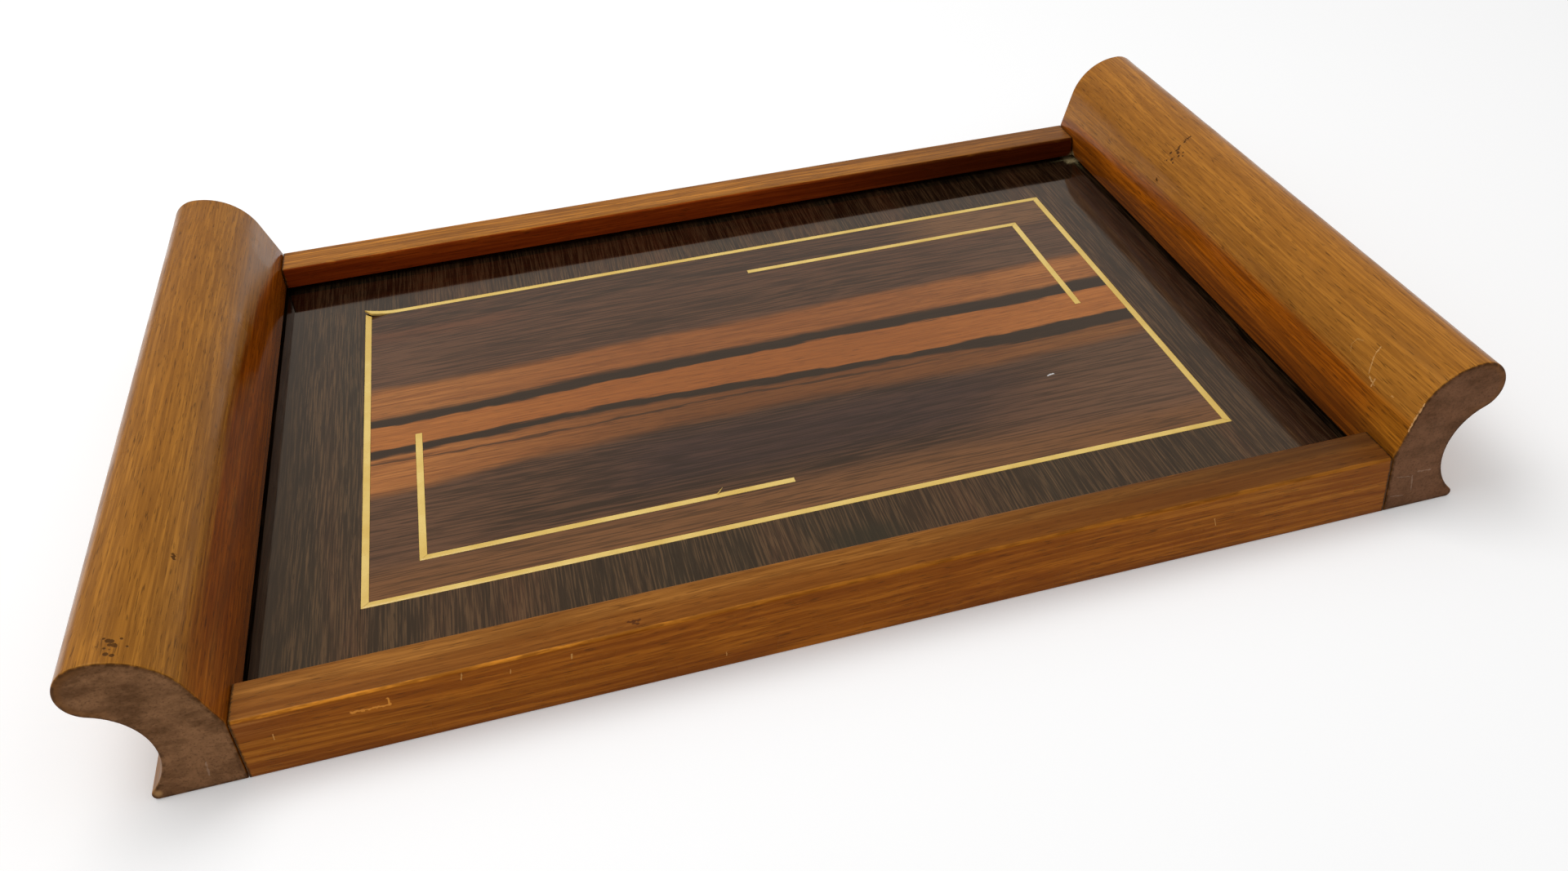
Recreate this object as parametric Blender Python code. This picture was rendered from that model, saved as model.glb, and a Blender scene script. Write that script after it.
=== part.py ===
"""Serving tray with an inlaid panel between two rails and two rolled handles.

X runs along the tray from the left handle to the right one, Y from front to rear and Z up.
The origin is the middle of the footprint, on the surface that the tray stands on.
Neighbouring pieces keep the same small gap, which glue fills in the real tray.
"""

import math

import bmesh
import bpy
from mathutils import Vector

MM = 0.001

# The frame
TRAY_DEPTH = 310.0 * MM
INNER_LENGTH = 393.8 * MM
PIECE_GAP = 0.3 * MM
CUT_OVERRUN = 4.0 * MM

# Rails: the two long sides
RAIL_HEIGHT = 24.2 * MM
RAIL_THICKNESS = 17.6 * MM
RAIL_TOP_EASE = 1.3 * MM
RAIL_FOOT_EASE = 0.6 * MM

# Handles: rolled top, finger groove under the nose, small lip at the foot
HANDLE_WIDTH = 40.4 * MM
HANDLE_HEIGHT = 57.5 * MM
HANDLE_LEAN = math.radians(20.3)
HANDLE_END_EASE = 0.7 * MM
NOSE_RADIUS = 10.1 * MM
WAIST_THICKNESS = 20.8 * MM
WAIST_HEIGHT = 18.3 * MM
FOOT_RADIUS = 1.9 * MM

# Panel: a plywood core with veneer on both faces, let into grooves that stay open above it
PANEL_SURFACE_HEIGHT = 12.3 * MM
VENEER_THICKNESS = 0.9 * MM
CORE_THICKNESS = 4.0 * MM
GROOVE_DEPTH = 6.0 * MM
SLOT_ABOVE_PANEL = 2.2 * MM

# Stringing: its width, and the border that it leaves on each side of the panel
STRING_WIDTH = 2.7 * MM
BORDER_LEFT = 35.6 * MM
BORDER_RIGHT = 33.8 * MM
BORDER_FRONT = 36.0 * MM
BORDER_REAR = 34.8 * MM

# The two L shaped corners, measured in from the outer edges of the stringing
FRONT_LEFT_INSET_X = 19.9 * MM
FRONT_LEFT_INSET_Y = 19.3 * MM
FRONT_LEFT_LONG_ARM = 136.3 * MM
FRONT_LEFT_SHORT_ARM = 80.3 * MM
REAR_RIGHT_INSET_X = 19.4 * MM
REAR_RIGHT_INSET_Y = 21.5 * MM
REAR_RIGHT_LONG_ARM = 132.9 * MM
REAR_RIGHT_SHORT_ARM = 80.9 * MM

# Dowels: two in each joint between a rail and a handle
DOWEL_RADIUS = 3.0 * MM
DOWEL_LENGTH = 30.0 * MM
DOWEL_CHAMFER = 0.8 * MM
DOWEL_HEIGHT_SHARES = {"lower": 0.27, "upper": 0.73}
DOWEL_SIDES = 24

# How finely round shapes are drawn
ARC_STEP = math.radians(5.0)
SMALL_ARC_STEP = math.radians(18.0)
EASE_SEGMENTS = 2
ROUND_PROFILE = 0.5
SHARP_ANGLE = math.radians(35.0)

# Places worked out from the sizes above
CORE_TOP = PANEL_SURFACE_HEIGHT - VENEER_THICKNESS - PIECE_GAP
CORE_BOTTOM = CORE_TOP - CORE_THICKNESS
BACKING_BOTTOM = CORE_BOTTOM - PIECE_GAP - VENEER_THICKNESS
GROOVE_TOP = PANEL_SURFACE_HEIGHT + SLOT_ABOVE_PANEL
GROOVE_BOTTOM = BACKING_BOTTOM - PIECE_GAP
PANEL_HALF_X = INNER_LENGTH / 2 + GROOVE_DEPTH - PIECE_GAP
PANEL_HALF_Y = TRAY_DEPTH / 2 - RAIL_THICKNESS + GROOVE_DEPTH - PIECE_GAP
STRING_LEFT = BORDER_LEFT - INNER_LENGTH / 2
STRING_RIGHT = INNER_LENGTH / 2 - BORDER_RIGHT
STRING_FRONT = BORDER_FRONT + RAIL_THICKNESS - TRAY_DEPTH / 2
STRING_REAR = TRAY_DEPTH / 2 - RAIL_THICKNESS - BORDER_REAR
MITRE_RELIEF = PIECE_GAP / math.sqrt(2)
DOWEL_Y = TRAY_DEPTH / 2 - (RAIL_THICKNESS - GROOVE_DEPTH) / 2
DOWEL_HOLE_RADIUS = DOWEL_RADIUS + PIECE_GAP
DOWEL_HOLE_DEPTH = DOWEL_LENGTH / 2 + PIECE_GAP

# Colour and roughness of each wood
WOODS = {
    "handle_wood": ((0.36, 0.17, 0.05, 1.0), 0.35),
    "rail_wood": ((0.33, 0.12, 0.03, 1.0), 0.38),
    "field_veneer": ((0.12, 0.05, 0.03, 1.0), 0.22),
    "border_veneer": ((0.06, 0.035, 0.02, 1.0), 0.25),
    "stringing": ((0.75, 0.55, 0.20, 1.0), 0.35),
    "core_ply": ((0.55, 0.38, 0.22, 1.0), 0.60),
    "backing_veneer": ((0.28, 0.15, 0.07, 1.0), 0.50),
    "dowel_beech": ((0.62, 0.44, 0.27, 1.0), 0.55),
}


# Scene and materials


def clear_scene():
    for item in list(bpy.data.objects):
        bpy.data.objects.remove(item, do_unlink=True)


def wood(name):
    """The material of that name, made the first time that it is asked for."""
    material = bpy.data.materials.get(name)
    if material is None:
        colour, roughness = WOODS[name]
        material = bpy.data.materials.new(name)
        material.use_nodes = True
        shader = material.node_tree.nodes["Principled BSDF"]
        shader.inputs["Base Color"].default_value = colour
        shader.inputs["Roughness"].default_value = roughness
        shader.inputs["Metallic"].default_value = 0.0
        material.diffuse_color = colour
    return material


# Meshes


def arc(centre, radius, start, end, step=ARC_STEP):
    """Points along a circular arc, with both of its ends."""
    count = max(2, math.ceil(abs(end - start) / step))
    angles = [start + (end - start) * n / count for n in range(count + 1)]
    return [(centre[0] + radius * math.cos(a), centre[1] + radius * math.sin(a)) for a in angles]


def along_x(across, up, run):
    return Vector((run, across, up))


def along_y(across, up, run):
    return Vector((across, run, up))


def along_z(across, deep, run):
    return Vector((across, deep, run))


def extruded(name, outline, start, end, direction):
    """A closed mesh with the given outline, from start to end along one axis."""
    mesh = bpy.data.meshes.new(name)
    shape = bmesh.new()
    corners = [shape.verts.new(direction(a, b, start)) for a, b in outline]
    cap = shape.faces.new(corners)
    pushed = bmesh.ops.extrude_face_region(shape, geom=[cap])
    moved = [item for item in pushed["geom"] if isinstance(item, bmesh.types.BMVert)]
    bmesh.ops.translate(shape, verts=moved, vec=direction(0, 0, end - start))
    bmesh.ops.recalc_face_normals(shape, faces=shape.faces)
    shape.to_mesh(mesh)
    shape.free()
    return mesh


def turned(name, stations):
    """A closed round mesh along X through the given stations, each a place and a radius."""
    mesh = bpy.data.meshes.new(name)
    shape = bmesh.new()
    rings = []
    for place, radius in stations:
        angles = [math.tau * n / DOWEL_SIDES for n in range(DOWEL_SIDES)]
        rings.append([shape.verts.new((place, radius * math.cos(a), radius * math.sin(a))) for a in angles])
    for low, high in zip(rings, rings[1:]):
        for n in range(DOWEL_SIDES):
            after = (n + 1) % DOWEL_SIDES
            shape.faces.new((low[n], low[after], high[after], high[n]))
    shape.faces.new(rings[0])
    shape.faces.new(rings[-1])
    bmesh.ops.recalc_face_normals(shape, faces=shape.faces)
    shape.to_mesh(mesh)
    shape.free()
    return mesh


def ease_end_edges(mesh, offset):
    """Rounds the edges round both end faces, apart from those against the rails."""
    shape = bmesh.new()
    shape.from_mesh(mesh)
    rim = []
    for edge in shape.edges:
        low, high = (vertex.co for vertex in edge.verts)
        along_the_handle = abs(low.y - high.y) > offset
        at_the_joint = max(abs(low.x), abs(high.x)) < offset / 2
        if not along_the_handle and not at_the_joint:
            rim.append(edge)
    width = {"offset": offset, "segments": EASE_SEGMENTS, "profile": ROUND_PROFILE}
    bmesh.ops.bevel(shape, geom=rim, affect="EDGES", loop_slide=True, **width)
    bmesh.ops.recalc_face_normals(shape, faces=shape.faces)
    shape.to_mesh(mesh)
    shape.free()


# Objects


def piece(name, mesh, material, location=(0, 0, 0), turn=0.0):
    """A named object with its own place, shaded smooth between its sharp edges."""
    item = bpy.data.objects.new(name, mesh)
    item.location = location
    item.rotation_euler.z = turn
    if not mesh.materials:
        mesh.materials.append(wood(material))
    mesh.shade_smooth()
    mesh.set_sharp_from_angle(angle=SHARP_ANGLE)
    bpy.context.scene.collection.objects.link(item)
    return item


def cut(item, name, mesh, location=(0, 0, 0)):
    """Cuts the mesh out of the item. Its place is given in the item's own space."""
    cutter = bpy.data.objects.new(name, mesh)
    cutter.parent = item
    cutter.location = location
    cutter.hide_render = True
    cutter.display_type = "WIRE"
    bpy.context.scene.collection.objects.link(cutter)
    modifier = item.modifiers.new(name, "BOOLEAN")
    modifier.operation = "DIFFERENCE"
    modifier.solver = "EXACT"
    modifier.object = cutter


def plate(name, outline, bottom, top, material):
    """A flat piece from its plan outline, with its origin at the middle of its underside."""
    middle_x = (min(x for x, y in outline) + max(x for x, y in outline)) / 2
    middle_y = (min(y for x, y in outline) + max(y for x, y in outline)) / 2
    local = [(x - middle_x, y - middle_y) for x, y in outline]
    mesh = extruded(name, local, 0, top - bottom, along_z)
    return piece(name, mesh, material, (middle_x, middle_y, bottom))


def rectangle(left, front, right, rear):
    return [(left, front), (right, front), (right, rear), (left, rear)]


# Handles and rails


def handle_outline():
    """The handle's section, as distance out from the joint with the rails, and height.

    The inner face rises straight to the rails' top, leans outwards, and runs into the crown.
    The crown's arc meets the nose's at the highest point. The finger groove's arc runs on
    from the nose, and the foot's small lip runs on from the groove down to the floor.
    """
    sine, cosine = math.sin(HANDLE_LEAN), math.cos(HANDLE_LEAN)
    top_out = HANDLE_WIDTH - NOSE_RADIUS
    rise = HANDLE_HEIGHT - RAIL_HEIGHT
    crown_radius = (top_out * cosine - rise * sine) / (1 - sine)
    crown = (top_out, HANDLE_HEIGHT - crown_radius)
    nose = (top_out, HANDLE_HEIGHT - NOSE_RADIUS)

    inwards = top_out - WAIST_THICKNESS
    below = nose[1] - WAIST_HEIGHT
    groove_radius = (inwards**2 + below**2 - NOSE_RADIUS**2) / (2 * (NOSE_RADIUS + inwards))
    groove = (WAIST_THICKNESS + groove_radius, WAIST_HEIGHT)
    nose_end = math.atan2(groove[1] - nose[1], groove[0] - nose[0])

    foot_below = WAIST_HEIGHT - FOOT_RADIUS
    foot_inwards = math.sqrt((groove_radius + FOOT_RADIUS) ** 2 - foot_below**2)
    foot = (groove[0] - foot_inwards, FOOT_RADIUS)
    foot_start = math.atan2(foot_below, foot_inwards)

    outline = [(0, 0), (0, RAIL_HEIGHT)]
    outline += arc(crown, crown_radius, math.pi - HANDLE_LEAN, math.pi / 2)
    outline += arc(nose, NOSE_RADIUS, math.pi / 2, nose_end)[1:]
    outline += arc(groove, groove_radius, nose_end + math.pi, foot_start + math.pi)[1:]
    outline += arc(foot, FOOT_RADIUS, foot_start, -math.pi / 2, SMALL_ARC_STEP)[1:]
    return outline


def rail_outline():
    """The rail's section, as distance in from its outer face, and height."""
    inner = RAIL_THICKNESS
    groove_end = RAIL_THICKNESS - GROOVE_DEPTH
    quarter = math.pi / 2
    foot_low = RAIL_FOOT_EASE
    top_low = RAIL_HEIGHT - RAIL_TOP_EASE
    outline = arc((foot_low, foot_low), RAIL_FOOT_EASE, 3 * quarter, 2 * quarter, SMALL_ARC_STEP)
    outline += arc((RAIL_TOP_EASE, top_low), RAIL_TOP_EASE, 2 * quarter, quarter, SMALL_ARC_STEP)
    outline += arc((inner - RAIL_TOP_EASE, top_low), RAIL_TOP_EASE, quarter, 0, SMALL_ARC_STEP)
    outline += [(inner, GROOVE_TOP), (groove_end, GROOVE_TOP)]
    outline += [(groove_end, GROOVE_BOTTOM), (inner, GROOVE_BOTTOM)]
    outline += arc((inner - foot_low, foot_low), RAIL_FOOT_EASE, 0, -quarter, SMALL_ARC_STEP)
    return outline


def cut_dowel_holes(item, mouths):
    """Two holes, one above the other, at each mouth.

    A mouth is its place in the item's own plan, and the way along X that its holes go in.
    """
    for number, (x, y, way) in enumerate(mouths, 1):
        stations = [(-way * CUT_OVERRUN, DOWEL_HOLE_RADIUS), (way * DOWEL_HOLE_DEPTH, DOWEL_HOLE_RADIUS)]
        for level, share in DOWEL_HEIGHT_SHARES.items():
            name = f"{item.name}_{level}_hole_{number}"
            cut(item, name, turned(name, stations), (x, y, share * RAIL_HEIGHT))


def make_handles():
    """Both handles share one section. The left one is the right one turned half round."""
    half_depth = TRAY_DEPTH / 2
    groove_half = PANEL_HALF_Y + PIECE_GAP
    for name, side, turn in (("left_handle", -1, math.pi), ("right_handle", 1, 0.0)):
        mesh = extruded(name, handle_outline(), -half_depth, half_depth, along_y)
        ease_end_edges(mesh, HANDLE_END_EASE)
        handle = piece(name, mesh, "handle_wood", (side * INNER_LENGTH / 2, 0, 0), turn)
        slot = rectangle(-CUT_OVERRUN, -groove_half, GROOVE_DEPTH, groove_half)
        slot_mesh = extruded(name + "_groove", slot, GROOVE_BOTTOM, GROOVE_TOP, along_z)
        cut(handle, name + "_groove", slot_mesh)
        cut_dowel_holes(handle, [(0, -DOWEL_Y, 1), (0, DOWEL_Y, 1)])


def make_rails():
    """Both rails share one section, with the groove for the panel along the inner face."""
    joint = INNER_LENGTH / 2
    half_length = joint - PIECE_GAP
    across = TRAY_DEPTH / 2 - DOWEL_Y
    for name, side, turn in (("front_rail", -1, 0.0), ("rear_rail", 1, math.pi)):
        mesh = extruded(name, rail_outline(), -half_length, half_length, along_x)
        rail = piece(name, mesh, "rail_wood", (0, side * TRAY_DEPTH / 2, 0), turn)
        cut_dowel_holes(rail, [(-joint, across, 1), (joint, across, -1)])


def make_dowels():
    """Round pegs across each joint, half in the rail and half in the handle."""
    half = DOWEL_LENGTH / 2
    narrow = DOWEL_RADIUS - DOWEL_CHAMFER
    shoulder = half - DOWEL_CHAMFER
    stations = [(-half, narrow), (-shoulder, DOWEL_RADIUS), (shoulder, DOWEL_RADIUS), (half, narrow)]
    mesh = turned("dowel", stations)
    for row, y in (("front", -DOWEL_Y), ("rear", DOWEL_Y)):
        for side, x in (("left", -INNER_LENGTH / 2), ("right", INNER_LENGTH / 2)):
            for level, share in DOWEL_HEIGHT_SHARES.items():
                place = (x, y, share * RAIL_HEIGHT)
                piece(f"dowel_{row}_{side}_{level}", mesh, "dowel_beech", place)


# Panel


def make_panel():
    """The core and its backing, whose edges lie in the grooves of rails and handles."""
    sheet = rectangle(-PANEL_HALF_X, -PANEL_HALF_Y, PANEL_HALF_X, PANEL_HALF_Y)
    plate("panel_core", sheet, CORE_BOTTOM, CORE_TOP, "core_ply")
    plate("backing_veneer", sheet, BACKING_BOTTOM, BACKING_BOTTOM + VENEER_THICKNESS, "backing_veneer")


def inlay(name, outline, material):
    """A piece of the veneered surface, laid on the core."""
    return plate(name, outline, PANEL_SURFACE_HEIGHT - VENEER_THICKNESS, PANEL_SURFACE_HEIGHT, material)


def make_border():
    """Left and right run the panel's full depth. Front and rear fit between them."""
    inner_left = STRING_LEFT - PIECE_GAP
    inner_right = STRING_RIGHT + PIECE_GAP
    sheets = {
        "border_veneer_left": (-PANEL_HALF_X, -PANEL_HALF_Y, inner_left, PANEL_HALF_Y),
        "border_veneer_right": (inner_right, -PANEL_HALF_Y, PANEL_HALF_X, PANEL_HALF_Y),
        "border_veneer_front": (STRING_LEFT, -PANEL_HALF_Y, STRING_RIGHT, STRING_FRONT - PIECE_GAP),
        "border_veneer_rear": (STRING_LEFT, STRING_REAR + PIECE_GAP, STRING_RIGHT, PANEL_HALF_Y),
    }
    for name, sides in sheets.items():
        inlay(name, rectangle(*sides), "border_veneer")


def string_outline(start, end, inward, mitres):
    """Plan outline of a string with its outer edge from start to end.

    inward is the unit direction of its other edge, and mitres says, as 1 or 0 for each end,
    where the string is cut at 45 degrees to meet another.
    """
    start, end, inward = Vector(start), Vector(end), Vector(inward)
    along = (end - start).normalized()
    first, last = mitres
    near = start + along * MITRE_RELIEF * first
    far = end - along * MITRE_RELIEF * last
    far_inner = far + (inward - along * last) * STRING_WIDTH
    near_inner = near + (inward + along * first) * STRING_WIDTH
    return [tuple(near), tuple(far), tuple(far_inner), tuple(near_inner)]


def make_outer_strings():
    front_left = (STRING_LEFT, STRING_FRONT)
    front_right = (STRING_RIGHT, STRING_FRONT)
    rear_left = (STRING_LEFT, STRING_REAR)
    rear_right = (STRING_RIGHT, STRING_REAR)
    runs = {
        "string_front": (front_left, front_right, (0, 1)),
        "string_rear": (rear_left, rear_right, (0, -1)),
        "string_left": (front_left, rear_left, (1, 0)),
        "string_right": (front_right, rear_right, (-1, 0)),
    }
    for name, (start, end, inward) in runs.items():
        inlay(name, string_outline(start, end, inward, (1, 1)), "stringing")


def ells():
    """Name, outer corner, directions of the two arms, and arm lengths of each L."""
    front_left = (STRING_LEFT + FRONT_LEFT_INSET_X, STRING_FRONT + FRONT_LEFT_INSET_Y)
    rear_right = (STRING_RIGHT - REAR_RIGHT_INSET_X, STRING_REAR - REAR_RIGHT_INSET_Y)
    return [
        ("ell_front_left", front_left, 1, FRONT_LEFT_LONG_ARM, FRONT_LEFT_SHORT_ARM),
        ("ell_rear_right", rear_right, -1, REAR_RIGHT_LONG_ARM, REAR_RIGHT_SHORT_ARM),
    ]


def ell_slot_outline(corner, way, long_arm, short_arm):
    """Plan outline of the slot for an L, which is the L with a gap all round it."""
    outside = -PIECE_GAP
    inside = STRING_WIDTH + PIECE_GAP
    long_end = long_arm + PIECE_GAP
    short_end = short_arm + PIECE_GAP
    turns = [(outside, outside), (long_end, outside), (long_end, inside), (inside, inside)]
    turns += [(inside, short_end), (outside, short_end)]
    return [(corner[0] + way * x, corner[1] + way * y) for x, y in turns]


def make_field():
    """The striped sheet, with a slot right through it for each L."""
    inset = STRING_WIDTH + PIECE_GAP
    sides = (STRING_LEFT + inset, STRING_FRONT + inset, STRING_RIGHT - inset, STRING_REAR - inset)
    field = inlay("field_veneer", rectangle(*sides), "field_veneer")
    for name, corner, way, long_arm, short_arm in ells():
        outline = ell_slot_outline(corner, way, long_arm, short_arm)
        local = [(x - field.location.x, y - field.location.y) for x, y in outline]
        slot = extruded(name + "_slot", local, -CUT_OVERRUN, VENEER_THICKNESS + CUT_OVERRUN, along_z)
        cut(field, name + "_slot", slot)


def make_ell_strings():
    for name, corner, way, long_arm, short_arm in ells():
        long_end = (corner[0] + way * long_arm, corner[1])
        short_end = (corner[0], corner[1] + way * short_arm)
        long_outline = string_outline(corner, long_end, (0, way), (1, 0))
        short_outline = string_outline(corner, short_end, (way, 0), (1, 0))
        inlay(name + "_long", long_outline, "stringing")
        inlay(name + "_short", short_outline, "stringing")


def main():
    clear_scene()
    make_handles()
    make_rails()
    make_dowels()
    make_panel()
    make_border()
    make_outer_strings()
    make_field()
    make_ell_strings()


main()
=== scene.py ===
# %% [markdown]
# # Dressing an inlaid serving tray
# The imported model gives us the tray as plain solids in metres. This lesson puts the looks on
# them: finer shapes where an edge or a reflection would give the plain solid away, and woods,
# varnish and wear made from shader nodes. We start by loading the frame.

# %% Load the frame
import math

import bmesh
import bpy
from mathutils import Matrix, Vector, noise


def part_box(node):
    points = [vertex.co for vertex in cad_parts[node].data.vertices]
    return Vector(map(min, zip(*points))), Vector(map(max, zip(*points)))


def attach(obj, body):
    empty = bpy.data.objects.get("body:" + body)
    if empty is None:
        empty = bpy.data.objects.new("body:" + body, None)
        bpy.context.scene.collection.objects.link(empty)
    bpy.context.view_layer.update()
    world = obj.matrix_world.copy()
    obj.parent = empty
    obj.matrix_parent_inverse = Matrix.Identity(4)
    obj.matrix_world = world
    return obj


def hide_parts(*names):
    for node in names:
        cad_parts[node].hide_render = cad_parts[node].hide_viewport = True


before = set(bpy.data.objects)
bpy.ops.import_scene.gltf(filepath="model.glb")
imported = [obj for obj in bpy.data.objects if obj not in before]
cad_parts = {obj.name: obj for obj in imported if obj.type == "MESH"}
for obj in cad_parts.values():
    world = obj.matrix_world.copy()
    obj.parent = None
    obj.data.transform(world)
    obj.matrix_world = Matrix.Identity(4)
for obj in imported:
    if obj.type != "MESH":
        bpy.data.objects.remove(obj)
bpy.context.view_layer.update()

# %% [markdown]
# The sizes that decide where things go are read from the boxes of the solids, not typed again.
# That way each new shape lands exactly on the solid that it stands for. Only the curves of the
# handle's section and the small roundings are given as numbers, since a box can't tell them.

# %% Read the main sizes
MM = 0.001
CAD_GAP = 0.3 * MM
SLOT_OVER_PANEL = 2.2 * MM
GROOVE_DEEP = 6.0 * MM

JOINT_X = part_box("right_handle")[0].x
HANDLE_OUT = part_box("right_handle")[1].x - JOINT_X
HANDLE_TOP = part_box("right_handle")[1].z
HALF_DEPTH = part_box("right_handle")[1].y
RAIL_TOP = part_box("front_rail")[1].z
RAIL_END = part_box("front_rail")[1].x
WELL_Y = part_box("rear_rail")[0].y
PANEL_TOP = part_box("field_veneer")[1].z
VENEER_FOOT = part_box("field_veneer")[0].z
PANEL_LOW, PANEL_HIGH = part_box("panel_core")
GROOVE_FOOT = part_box("backing_veneer")[0].z - CAD_GAP
GROOVE_ROOF = PANEL_TOP + SLOT_OVER_PANEL
print("rails meet handles at x =", round(JOINT_X, 4), "panel surface at z =", round(PANEL_TOP, 4))

# %% [markdown]
# Rails, handles and strings are all one section carried along a line. To draw a section we need
# arcs and evenly divided lines. To round over the ends of what is swept, we also need to know
# which way each point of the section moves when the section shrinks.

# %% Drawing a section
SHARPEST_CORNER = 0.35


def arc(centre, radius, start, end, steps):
    """Points along a circular arc, both ends included. Angles are in degrees."""
    points = []
    for n in range(steps + 1):
        angle = math.radians(start + (end - start) * n / steps)
        points.append((centre[0] + radius * math.cos(angle), centre[1] + radius * math.sin(angle)))
    return points


def divided(start, end, parts):
    """Points that divide a straight line into equal parts, without its two ends."""
    shares = [n / parts for n in range(1, parts)]
    return [(start[0] + (end[0] - start[0]) * s, start[1] + (end[1] - start[1]) * s) for s in shares]


def inward_normals(section):
    """For each point of a closed section, how it moves when the section shrinks by one."""
    count = len(section)
    doubled_area = sum(
        section[n][0] * section[(n + 1) % count][1] - section[(n + 1) % count][0] * section[n][1]
        for n in range(count)
    )
    turn = 1 if doubled_area > 0 else -1
    normals = []
    for n in range(count):
        here = Vector(section[n])
        arriving = (here - Vector(section[n - 1])).normalized()
        leaving = (Vector(section[(n + 1) % count]) - here).normalized()
        both = Vector((-arriving.y - leaving.y, arriving.x + leaving.x)) * turn
        both.normalize()
        square = Vector((-arriving.y, arriving.x)) * turn
        normals.append(both / max(SHARPEST_CORNER, both.dot(square)))
    return normals


print("the corner of a square moves by", inward_normals([(0, 0), (1, 0), (1, 1), (0, 1)])[0])

# %% [markdown]
# A bevel modifier could round the ends of a sweep, but it gives no say in where the extra rings
# go. Here every ring is placed one by one: at both ends the section shrinks along a quarter round.
# A float named "edge" says how close each ring is to an arris, and the materials use it later
# to rub the finish away and to lay a painted highlight along the arris.

# %% Rings along a run
ROUND_ANGLES = (0, 22.5, 45, 67.5, 90)
END_FACE_INSET = 2.2
SHOULDER = 2.2
PLAIN_FROM = 5.0


def eased_run(start, end, ease, spacing):
    """Rings along a run as (place, inset, edge), with both ends rounded over by the ease."""
    rings = [(0.0, END_FACE_INSET * ease, 0.25)]
    for angle in ROUND_ANGLES:
        turn = math.radians(angle)
        rings.append((ease * (1 - math.cos(turn)), ease * (1 - math.sin(turn)), 1.0))
    rings += [(SHOULDER * ease, 0.0, 0.6), (PLAIN_FROM * ease, 0.0, 0.0)]
    length = end - start
    plain_length = length - 2 * PLAIN_FROM * ease
    plain = max(2, round(plain_length / spacing))
    middle = [(PLAIN_FROM * ease + plain_length * n / plain, 0.0, 0.0) for n in range(1, plain)]
    back = [(length - place, inset, edge) for place, inset, edge in reversed(rings)]
    return [(start + place, inset, edge) for place, inset, edge in rings + middle + back]


print("a run of 100 mm has", len(eased_run(0, 100 * MM, 1 * MM, 6 * MM)), "rings")

# %% [markdown]
# The sweep itself lays one row of vertices for each ring and skins the rows with faces. Strings
# and the splinter place their own rows later, so the skin is a function of its own.

# %% Sweep and skin
def skin(shape, grid):
    """Joins the rows of vertices with faces and closes both ends."""
    count = len(grid[0])
    for low, high in zip(grid, grid[1:]):
        for n in range(count):
            after = (n + 1) % count
            shape.faces.new((low[n], low[after], high[after], high[n]))
    shape.faces.new(grid[0])
    shape.faces.new(grid[-1])
    bmesh.ops.recalc_face_normals(shape, faces=shape.faces)


def swept(section, edges, rings, place):
    """A closed bmesh of the section along the rings, with "edge" filled in, and its rows."""
    shape = bmesh.new()
    layer = shape.verts.layers.float.new("edge")
    normals = inward_normals(section)
    grid = []
    for run, inset, ring_edge in rings:
        row = []
        for (a, b), normal, edge in zip(section, normals, edges):
            vertex = shape.verts.new(place(a + normal.x * inset, b + normal.y * inset, run))
            vertex[layer] = max(edge, ring_edge)
            row.append(vertex)
        grid.append(row)
    skin(shape, grid)
    return shape, grid


print("sweep ready")

# %% [markdown]
# Every finished shape goes through one function. It makes the object at the origin of the
# frame, shades it smooth with the corners kept crisp, hangs it on the tray's only body, hides
# the solids it stands for and notes which finish it takes. The materials come later in the
# lesson, so a shape is first given only the name of its wood.

# %% Turn a bmesh into a piece of the tray
CRISP_ANGLE = 40
pieces = {}


def finish_piece(name, shape, wood, stands_for=(), smooth=True):
    """Links the shape as an object, riding on the tray, and hides the solids that it stands for."""
    mesh = bpy.data.meshes.new(name)
    shape.to_mesh(mesh)
    shape.free()
    if smooth:
        mesh.shade_smooth()
        mesh.set_sharp_from_angle(angle=math.radians(CRISP_ANGLE))
    item = bpy.data.objects.new(name, mesh)
    bpy.context.scene.collection.objects.link(item)
    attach(item, "root")
    if stands_for:
        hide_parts(*stands_for)
    pieces[name] = (item, wood)
    print(f"{name}: {len(mesh.polygons)} faces")
    return item


print("corners sharper than", CRISP_ANGLE, "degrees stay crisp")

# %% [markdown]
# The handle is the shape that makes this tray: an inner face that leans out, a rolled crown,
# a round nose, a hollow for the fingers and a small lip at the foot. A joiner would work it
# from a long blank with moulding planes, so it is one section all the way. We draw that
# section from four arcs that run into one another and sweep it from front to rear.

# %% The handle's section
LEAN = 20.3
NOSE_RADIUS = 10.1 * MM
WAIST_OUT = 20.8 * MM
WAIST_UP = 18.3 * MM
LIP_RADIUS = 1.9 * MM
FACETS = {"face": 3, "crown": 24, "nose": 28, "hollow": 24, "lip": 9, "foot": 4}


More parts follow.
